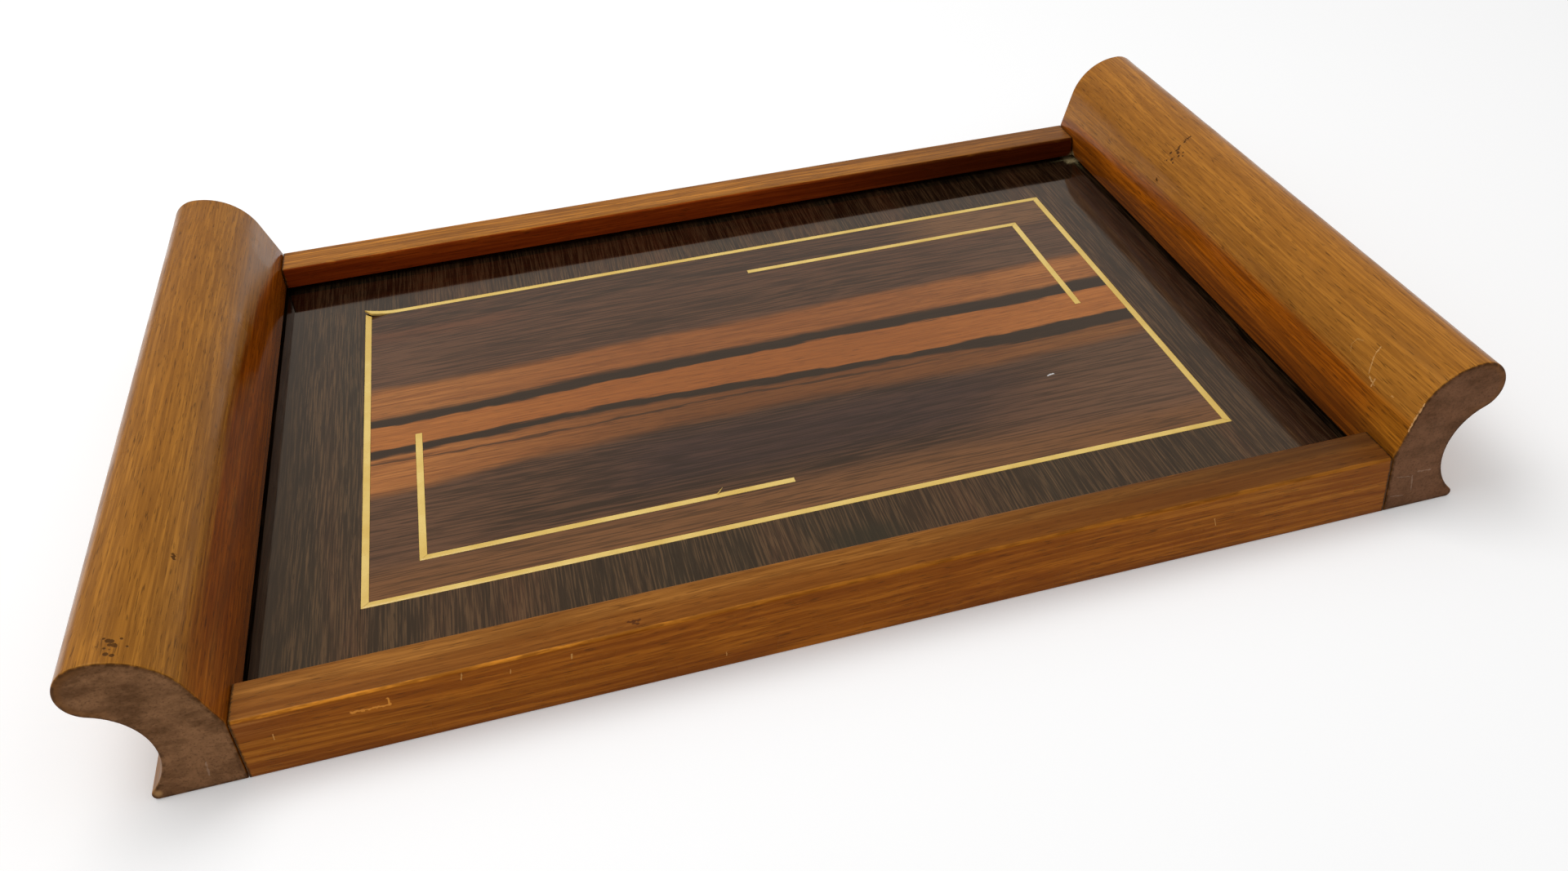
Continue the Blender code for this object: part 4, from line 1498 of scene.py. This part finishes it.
def make_border_wood():
    tree, shader, spot, parts, grain_place = start_wood("border_veneer", "Y", PANEL_GLOSS)
    x, y = parts["X"], parts["Y"]
    grain = use_group(tree, grain_group, Place=grain_place, Fineness=2.1, Wander=0.0015, Seed=4.2)
    hue = cloud(tree, stretched(tree, grain_place, 3, 30, 30), 1.0, 2.0)
    warm = mix(tree, step(tree, hue, 0.4, 0.6), tone(38, 34, 25), tone(80, 48, 30))
    sides = step(tree, x, *GREENISH_LEFT), step(tree, x, *GREENISH_RIGHT)
    greenish = product(tree, *sides, step(tree, y, *GREENISH_FRONT))
    # painted shade and painted dark reflection beside the rear and right walls
    painted_shade_by_wall = reckon(tree, "MAXIMUM", step(tree, x, *SHADE_BY_RIGHT_WALL), step(tree, y, *SHADE_BY_REAR_WALL))
    colour = painted(
        tree,
        mix(tree, grain["Bands"], tone(28, 22, 16), warm),
        (step(tree, grain["Streaks"], 0.2, 0.9, 0.0, 0.32), tone(78, 57, 36)),
        (step(tree, grain["Lines"], 0.45, 0.9, 0.0, 0.5), tone(108, 80, 52)),
        (step(tree, grain["Lines"], 0.5, 0.15, 0.0, 0.6), tone(10, 8, 5)),
        (product(tree, grain["Fibres"], 0.35), tone(8, 6, 4)),
        (product(tree, grain["Pores"], 0.6), tone(4, 3, 2)),
        (product(tree, greenish, 0.7), tone(15, 25, 18)),
        (product(tree, painted_shade_by_wall, 0.6), tone(4, 2, 1)),
        # painted shade beside the left wall
        (step(tree, x, *SHADE_BY_LEFT_WALL, 0.0, 0.8), tone(4, 2, 1)),
    )
    colour = dust_over(tree, spot["Object"], colour)
    varnish = use_group(tree, varnish_group, Place=spot["Object"], Grain=grain["Fibres"], Sunk=0.2)
    rough = step(tree, varnish["Mottle"], 0.0, 1.0, 0.05, 0.085)
    finish_wood(tree, shader, colour, rough, varnish["Height"], POLISH_DEPTH)


make_border_wood()

# %% [markdown]
# The field is one sheet of striped ebony with its grain along the tray. Three orange stripes
# cross it, and each edge wanders in its own way: the middle stripe has crisp edges, the upper
# one a soft top edge, and the lower one frays out to the right. A curve for each edge gives its
# height over the length of the sheet. That is truer to the one real sheet than any wave texture
# would be. With each edge goes the height that its curve swings about, all in millimetres.

# %% The edges of the stripes
FIELD_SPAN = 165
CURVE_REACH = 12
STRIPE_EDGES = {
    "first_top": (
        [(-160, 35.6), (-110, 34.9), (-70, 36.5), (-30, 37.3)]
        + [(10, 37.2), (50, 39.3), (100, 39.8), (160, 41.3)],
        38,
    ),
    "first_foot": (
        [(-160, 14.3), (-110, 14.7), (-70, 16.9), (-10, 18.0)]
        + [(50, 18.4), (120, 18.7), (160, 20.5)],
        17,
    ),
    "second_top": (
        [(-160, 8.0), (-112, 7.3), (-70, 9.4), (-10, 10.1)]
        + [(50, 10.2), (100, 9.7), (160, 10.5)],
        9,
    ),
    "second_foot": (
        [(-160, -8.9), (-110, -8.0), (-70, -7.4), (-30, -8.6)]
        + [(10, -10.4), (65, -12.6), (110, -11.6), (160, -10.0)],
        -10,
    ),
    "third_top": (
        [(-160, -14.4), (-110, -13.0), (-70, -12.1), (-30, -13.3)]
        + [(10, -16.0), (60, -16.9), (110, -20.4), (160, -20.0)],
        -16,
    ),
    "third_foot": (
        [(-160, -38.5), (-130, -36.5), (-100, -33.4), (-50, -31.6)]
        + [(10, -30.8), (90, -32.6), (160, -29.0)],
        -33,
    ),
    "dark_thread": (
        [(-160, -17.3), (-100, -19.1), (-20, -18.3)]
        + [(40, -20.7), (100, -22.2), (160, -23.0)],
        -20,
    ),
}
print(len(STRIPE_EDGES), "edges drawn over", 2 * FIELD_SPAN, "mm")

# %% [markdown]
# A stripe is whatever lies above its lower edge and below its upper one. Fine grain tears each
# edge a little and a slower noise makes it waver, so both are added to the place before it is
# compared with the curves. How soft an edge is differs from stripe to stripe.

# %% Masks of the stripes
TEAR_DEPTH, WAVE_DEPTH = 3.0 * MM, 3.6 * MM
THREAD_HALF, THREAD_RIM = 0.3 * MM, 1.2 * MM
THREAD_FADES = (0.02, 0.12)


def stripe_masks(tree, place, x, y):
    """A mask for each stripe, the band they lie in, and the dark thread in the lowest one."""
    torn = cloud(tree, stretched(tree, place, 45, 900, 900), 1.0, 2.0)
    wavy = cloud(tree, stretched(tree, place, 62, 130, 130), 1.0, 2.0, 0.55)
    torn_y = total(tree, y, swing(tree, torn, TEAR_DEPTH), swing(tree, wavy, WAVE_DEPTH))
    over = {
        name: reckon(tree, "SUBTRACT", torn_y, drawn_line(tree, x, FIELD_SPAN, points, middle, CURVE_REACH))
        for name, (points, middle) in STRIPE_EDGES.items()
    }

    def between(foot, foot_soft, top, top_soft):
        """1 above one edge and below another, each over its own soft distance in millimetres."""
        above_foot = step(tree, over[foot], -foot_soft * MM, foot_soft * MM)
        above_top = step(tree, over[top], -top_soft * MM, top_soft * MM)
        return product(tree, above_foot, rest_of(tree, above_top))

    third = between("third_foot", 4, "third_top", 1.2)
    thread = step(tree, without_sign(tree, over["dark_thread"]), THREAD_HALF, THREAD_RIM, 1.0, 0.0)
    return {
        "band": between("third_foot", 4, "first_top", 3.5),
        "first": between("first_foot", 2.1, "first_top", 3.5),
        "second": between("second_foot", 0.7, "second_top", 0.7),
        "third": third,
        "thread": product(tree, thread, third, step(tree, x, *THREAD_FADES, 0.75, 0.2)),
    }


print("stripe edges waver by up to", round((TEAR_DEPTH + WAVE_DEPTH) / 2 / MM, 1), "mm")

# %% [markdown]
# Under the stripes lies a dark brown ground. It isn't even: some places are warmer, and one
# wide place below the middle is cooler. Each is a soft edged rectangle with a tone of its own,
# and fine dark lines along the grain run over them all.

# %% The ground of the field
FIELD_PATCHES = [
    ((-70, 95), (-70, -36), 30, 0.6, (30, 23, 37)),
    ((-200, -95), (74, 84), 12, 0.5, (112, 66, 42)),
    ((-200, 200), (-110, -82), 20, 0.7, (136, 88, 50)),
    ((80, 200), (-86, -52), 30, 0.5, (118, 80, 58)),
    ((95, 200), (78, 100), 20, 0.65, (142, 98, 60)),
    ((115, 200), (-84, 70), 25, 0.45, (110, 80, 60)),
    ((-200, -125), (-84, 70), 25, 0.5, (114, 78, 56)),
]


def patch(tree, x, y, across, deep, soft):
    """1 inside a soft edged rectangle of the sheet, from left to right and front to rear."""
    sides = []
    for value, (low, high), ease in ((x, across, soft), (y, deep, soft / 3)):
        sides.append(step(tree, value, (low - ease) * MM, (low + ease) * MM))
        sides.append(step(tree, value, (high - ease) * MM, (high + ease) * MM, 1.0, 0.0))
    return product(tree, *sides)


def field_ground(tree, x, y, grain):
    colour = painted(
        tree,
        mix(tree, grain["Bands"], tone(42, 27, 20), tone(74, 47, 34)),
        (step(tree, grain["Streaks"], 0.1, 1.0, 0.0, 0.45), tone(88, 58, 42)),
        (step(tree, grain["Lines"], 0.4, 0.9, 0.0, 0.45), tone(114, 76, 52)),
    )
    for across, deep, soft, amount, shade in FIELD_PATCHES:
        mask = product(tree, patch(tree, x, y, across, deep, soft), amount)
        colour = mix(tree, mask, colour, tone(*shade))
    return mix(tree, step(tree, grain["Lines"], 0.5, 0.12, 0.0, 0.5), colour, tone(12, 8, 7))


print(len(FIELD_PATCHES), "patches in the ground")

# %% [markdown]
# With masks and ground in hand, the sheet is painted from the ground up: first the nearly black
# wood between the stripes, then the stripes themselves, the thread, the finest fibres and
# pores, and one pale fleck. The stripes are a little brighter towards both ends of the sheet.

# %% Striped field
PALE_FLECK = [((109.0, -48.1, 12.3), (111.1, -47.8, 12.3))]
PALE_FLECK_WIDTH = 0.26
BRIGHTER_ENDS, THIRD_FADES = (0.05, 0.16), (-0.15, -0.03)


def make_field_wood():
    tree, shader, spot, parts, grain_place = start_wood("field_veneer", "X", PANEL_GLOSS)
    place, x, y = spot["Object"], parts["X"], parts["Y"]
    grain = use_group(tree, grain_group, Place=grain_place, Fineness=1.6, Wander=0.0026, Seed=7.9)
    masks = stripe_masks(tree, place, x, y)
    far_out = step(tree, without_sign(tree, x), *BRIGHTER_ENDS)
    orange = painted(
        tree,
        mix(tree, far_out, tone(164, 96, 44), tone(188, 118, 58)),
        (step(tree, grain["Streaks"], 0.0, 1.0, 0.4, 0.0), tone(128, 66, 28)),
        (step(tree, grain["Lines"], 0.5, 0.1, 0.0, 0.45), tone(104, 52, 22)),
    )
    bright = painted(
        tree,
        mix(tree, far_out, tone(162, 92, 38), tone(186, 112, 50)),
        (step(tree, grain["Streaks"], 0.0, 1.0, 0.35, 0.0), tone(146, 78, 30)),
        (step(tree, grain["Lines"], 0.45, 0.05, 0.0, 0.35), tone(120, 62, 26)),
    )
    fading = step(tree, x, *THIRD_FADES, 1.0, 0.52)
    fleck = scratched(tree, place, raggedness(tree, place), PALE_FLECK, PALE_FLECK_WIDTH)
    colour = painted(
        tree,
        field_ground(tree, x, y, grain),
        (product(tree, masks["band"], 0.9), tone(13, 12, 9)),
        (product(tree, masks["first"], 0.9), orange),
        (masks["second"], bright),
        (product(tree, masks["third"], fading), orange),
        (masks["thread"], tone(30, 18, 12)),
        (product(tree, grain["Fibres"], 0.2), tone(20, 12, 8)),
        (product(tree, grain["Pores"], 0.35), tone(14, 9, 7)),
        (fleck, tone(206, 206, 206)),
    )
    varnish = use_group(tree, varnish_group, Place=place, Grain=grain["Fibres"], Sunk=0.2)
    rough = step(tree, varnish["Mottle"], 0.0, 1.0, 0.05, 0.085)
    finish_wood(tree, shader, colour, rough, varnish["Height"], POLISH_DEPTH)


make_field_wood()

# %% [markdown]
# The strings are boxwood: pale yellow, with hardly any figure, and slightly browner where glue
# and polish have crept in along their edges.

# %% Stringing
def make_string_wood():
    gloss = {"IOR": 1.5, "Specular IOR Level": 0.5}
    tree, shader, spot, parts, grain_place = start_wood("stringing", "X", gloss)
    soft = cloud(tree, spot["Object"], 45.0, 3.0, 0.6)
    fine = cloud(tree, spot["Object"], 1400.0, 1.0)
    foot = step(tree, parts["Z"], VENEER_FOOT, PANEL_TOP - STRING_ROUND, 1.0, 0.0)
    colour = painted(
        tree,
        mix(tree, step(tree, soft, 0.3, 0.7), tone(226, 188, 92), tone(240, 208, 118)),
        (step(tree, fine, 0.5, 0.8, 0.0, 0.2), tone(206, 160, 72)),
        (foot, tone(150, 78, 20)),
    )
    finish_wood(tree, shader, colour, step(tree, soft, 0.3, 0.7, 0.2, 0.3), fine, 0.004 * MM)


make_string_wood()

# %% [markdown]
# Three woods are almost hidden. The plywood core shows only in the hollow under the lifted
# string, and at its edges, where its plies lie in light and dark layers. Its upward faces are
# painted dark, as painted shade in the hollow under the string, and the surface's direction says
# which is which.

# %% Core
PLIES_PER_METRE = 750.0
RAW_DEPTH = 0.05 * MM


def make_core_wood():
    tree, shader, spot, parts, grain_place = start_wood("core_ply", "X", {"IOR": 1.45})
    grain = use_group(tree, grain_group, Place=grain_place, Wander=0.003, Seed=2.4)
    layers = reckon(tree, "FRACT", product(tree, parts["Z"], PLIES_PER_METRE))
    # upward faces get painted shade, for the hollow under the lifted string
    upwards = add(tree, "SeparateXYZ", {0: spot["Normal"]}).outputs["Z"]
    colour = painted(
        tree,
        mix(tree, grain["Streaks"], tone(170, 126, 82), tone(202, 160, 112)),
        (product(tree, step(tree, layers, 0.42, 0.58), 0.4), tone(122, 82, 48)),
        (product(tree, step(tree, upwards, 0.5, 0.9), 0.9), tone(48, 22, 8)),
    )
    rough = step(tree, grain["Fibres"], 0.0, 1.0, 0.6, 0.8)
    finish_wood(tree, shader, colour, rough, grain["Fibres"], RAW_DEPTH)


make_core_wood()

# %% [markdown]
# The backing sheet is what you see when you turn the tray over: a plain veneer, dry and matt,
# with a little grime. The dowels sit inside the joints, pale beech with its short flecks.

# %% Backing and dowels
def make_backing_wood():
    tree, shader, spot, parts, grain_place = start_wood("backing_veneer", "X", {"IOR": 1.5})
    grain = use_group(tree, grain_group, Place=grain_place, Wander=0.004, Seed=5.1)
    grime = cloud(tree, spot["Object"], 14.0, 4.0, 0.65)
    colour = painted(
        tree,
        mix(tree, grain["Bands"], tone(112, 72, 38), tone(142, 96, 54)),
        (step(tree, grain["Streaks"], 0.0, 1.0, 0.5, 0.0), tone(84, 50, 24)),
        (product(tree, grain["Pores"], 0.5), tone(52, 30, 14)),
        (step(tree, grime, 0.5, 0.8, 0.0, 0.5), tone(60, 48, 38)),
    )
    rough = step(tree, grime, 0.3, 0.8, 0.48, 0.7)
    finish_wood(tree, shader, colour, rough, grain["Fibres"], RAW_DEPTH)


def make_dowel_wood():
    tree, shader, spot, parts, grain_place = start_wood("dowel_beech", "X", {"IOR": 1.45})
    grain = use_group(tree, grain_group, Place=grain_place, Wander=0.001, Seed=9.3)
    colour = painted(
        tree,
        mix(tree, grain["Streaks"], tone(196, 158, 116), tone(216, 182, 140)),
        (product(tree, grain["Pores"], 0.6), tone(156, 108, 70)),
    )
    rough = step(tree, grain["Fibres"], 0.0, 1.0, 0.5, 0.65)
    finish_wood(tree, shader, colour, rough, grain["Fibres"], 0.04 * MM)


make_backing_wood()
make_dowel_wood()

# %% [markdown]
# Each new piece takes its wood by the name it was given. The solids that still show, the core,
# the backing and the dowels, keep their shapes and only change their finish.

# %% Put the finishes on
for item, wood in pieces.values():
    item.data.materials.clear()
    item.data.materials.append(WOODS[wood])

kept_solids = {"panel_core": "core_ply", "backing_veneer": "backing_veneer"}
for row in ("front", "rear"):
    for side in ("left", "right"):
        for level in ("lower", "upper"):
            kept_solids[f"dowel_{row}_{side}_{level}"] = "dowel_beech"
for name, wood in kept_solids.items():
    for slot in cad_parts[name].material_slots:
        slot.material = WOODS[wood]
print(len(pieces), "new pieces and", len(kept_solids), "kept solids are finished")

# %% [markdown]
# The stage starts with a wide pale floor. To the camera, and in anything glossy that mirrors
# it, the floor glows a little, so that it runs into the white of the background without a
# seam. The glow lights nothing, and the tray's shadow stays on the floor.

# %% Floor
FLOOR_HALF = 4.0
FLOOR_WHITE = (0.9, 0.9, 0.9, 1.0)
FLOOR_GLOW = 0.2
WHITE = (1.0, 1.0, 1.0, 1.0)

floor_mesh = bpy.data.meshes.new("floor")
floor_shape = bmesh.new()
bmesh.ops.create_grid(floor_shape, x_segments=2, y_segments=2, size=FLOOR_HALF)
floor_shape.to_mesh(floor_mesh)
floor_shape.free()
floor = bpy.data.objects.new("floor", floor_mesh)
bpy.context.scene.collection.objects.link(floor)

floor_paper = bpy.data.materials.new("floor_paper")
floor_paper.use_nodes = True
tree = floor_paper.node_tree
floor_shader = tree.nodes["Principled BSDF"]
floor_shader.inputs["Base Color"].default_value = FLOOR_WHITE
floor_shader.inputs["Roughness"].default_value = 0.9
floor_shader.inputs["Specular IOR Level"].default_value = 0.0
floor_shader.inputs["Emission Color"].default_value = WHITE
rays = add(tree, "LightPath").outputs
seen_rays = [rays[f"Is {kind} Ray"] for kind in ("Camera", "Glossy", "Transmission")]
feed(tree, floor_shader.inputs["Emission Strength"], product(tree, total(tree, *seen_rays), FLOOR_GLOW))
floor_mesh.materials.append(floor_paper)
print("floor", 2 * FLOOR_HALF, "m wide")

# %% [markdown]
# The world has two faces. One lights the tray, brighter from above than from the sides, at a
# level where colours come out about as they are written. The other is what is seen: white to
# the camera, and to anything glossy or clear a softer grey that is darker low on the left, as
# in the room where the tray stood. Light Path's rays choose between the two.

# %% World
SKY_LIGHT, LOW_SKY_LIGHT = 0.55, 0.3
SKY_SEEN = 0.5
LOW_SEEN_LEFT, LOW_SEEN_RIGHT = 0.2, 0.65

world = bpy.data.worlds.new("white_room")
world.use_nodes = True
bpy.context.scene.world = world
tree = world.node_tree
direction = add(tree, "SeparateXYZ", {0: add(tree, "TexCoord").outputs["Generated"]}).outputs
rays = add(tree, "LightPath").outputs
lighting = step(tree, direction["Z"], 0.0, 0.6, LOW_SKY_LIGHT, SKY_LIGHT)
low_seen = step(tree, direction["X"], -0.3, 0.4, LOW_SEEN_LEFT, LOW_SEEN_RIGHT)
higher = step(tree, direction["Z"], 0.15, 0.4)
mirrored = total(tree, low_seen, product(tree, higher, reckon(tree, "SUBTRACT", SKY_SEEN, low_seen)))
seen = reckon(tree, "MINIMUM", total(tree, mirrored, rays["Is Camera Ray"]), 1.0)
is_seen = total(tree, rays["Is Camera Ray"], rays["Is Glossy Ray"], rays["Is Transmission Ray"])
faces = {
    0: reckon(tree, "MINIMUM", is_seen, 1.0),
    1: add(tree, "Background", {"Color": WHITE, "Strength": lighting}).outputs[0],
    2: add(tree, "Background", {"Color": WHITE, "Strength": seen}).outputs[0],
}
tree.links.new(add(tree, "MixShader", faces).outputs[0], tree.nodes["World Output"].inputs["Surface"])
tree.nodes.remove(tree.nodes["Background"])
count_nodes(tree, "world")

# %% [markdown]
# One large soft lamp hangs above, a little to the left and behind. It gives the crowns of the
# handles their broad gleam, and the tray a soft shadow towards the front right.

# %% Lamp
LAMP_PLACE = Vector((-0.5, 0.35, 1.5))
LAMP_SIZE = (1.4, 1.0)
LAMP_POWER = 13.0

lamp = bpy.data.lights.new("overhead_lamp", "AREA")
lamp.shape = "RECTANGLE"
lamp.size, lamp.size_y = LAMP_SIZE
lamp.energy = LAMP_POWER
lamp_item = bpy.data.objects.new("overhead_lamp", lamp)
lamp_item.location = LAMP_PLACE
lamp_item.rotation_euler = (-LAMP_PLACE).to_track_quat("-Z", "Y").to_euler()
bpy.context.scene.collection.objects.link(lamp_item)
print("lamp", round(LAMP_PLACE.length, 2), "m from the tray")

# %% [markdown]
# The camera stands where the photograph was taken: low, a little left of the middle, tipped
# down by a bit more than a third of a right angle. Its axes are given as plain directions,
# which is the least ambiguous way to write a camera that was solved from points in a picture.
# A small lens shift gives the picture's off-centre framing.

# %% Camera
CAMERA_PLACE = Vector((-79.61, -497.87, 338.20)) * MM
CAMERA_RIGHT = Vector((0.96020, -0.27544, -0.04635))
CAMERA_DOWN = Vector((-0.19086, -0.52586, -0.82888))
FOCAL_LENGTH = 32.851995
FRAME_SHIFT = (-0.05522895, -0.03463540)

lens = bpy.data.cameras.new("camera")
lens.sensor_fit = "HORIZONTAL"
lens.sensor_width = 36.0
lens.lens = FOCAL_LENGTH
lens.shift_x, lens.shift_y = FRAME_SHIFT
lens.clip_start = 0.01
camera = bpy.data.objects.new("camera", lens)
right = CAMERA_RIGHT.normalized()
up = -(CAMERA_DOWN - right * CAMERA_DOWN.dot(right)).normalized()
back = right.cross(up)
turned = Matrix((right, up, back)).transposed().to_4x4()
camera.matrix_world = Matrix.Translation(CAMERA_PLACE) @ turned
bpy.context.scene.collection.objects.link(camera)
bpy.context.scene.camera = camera
bpy.context.scene.view_settings.view_transform = "Standard"
print("camera", round(CAMERA_PLACE.length, 3), "m from the middle of the tray")
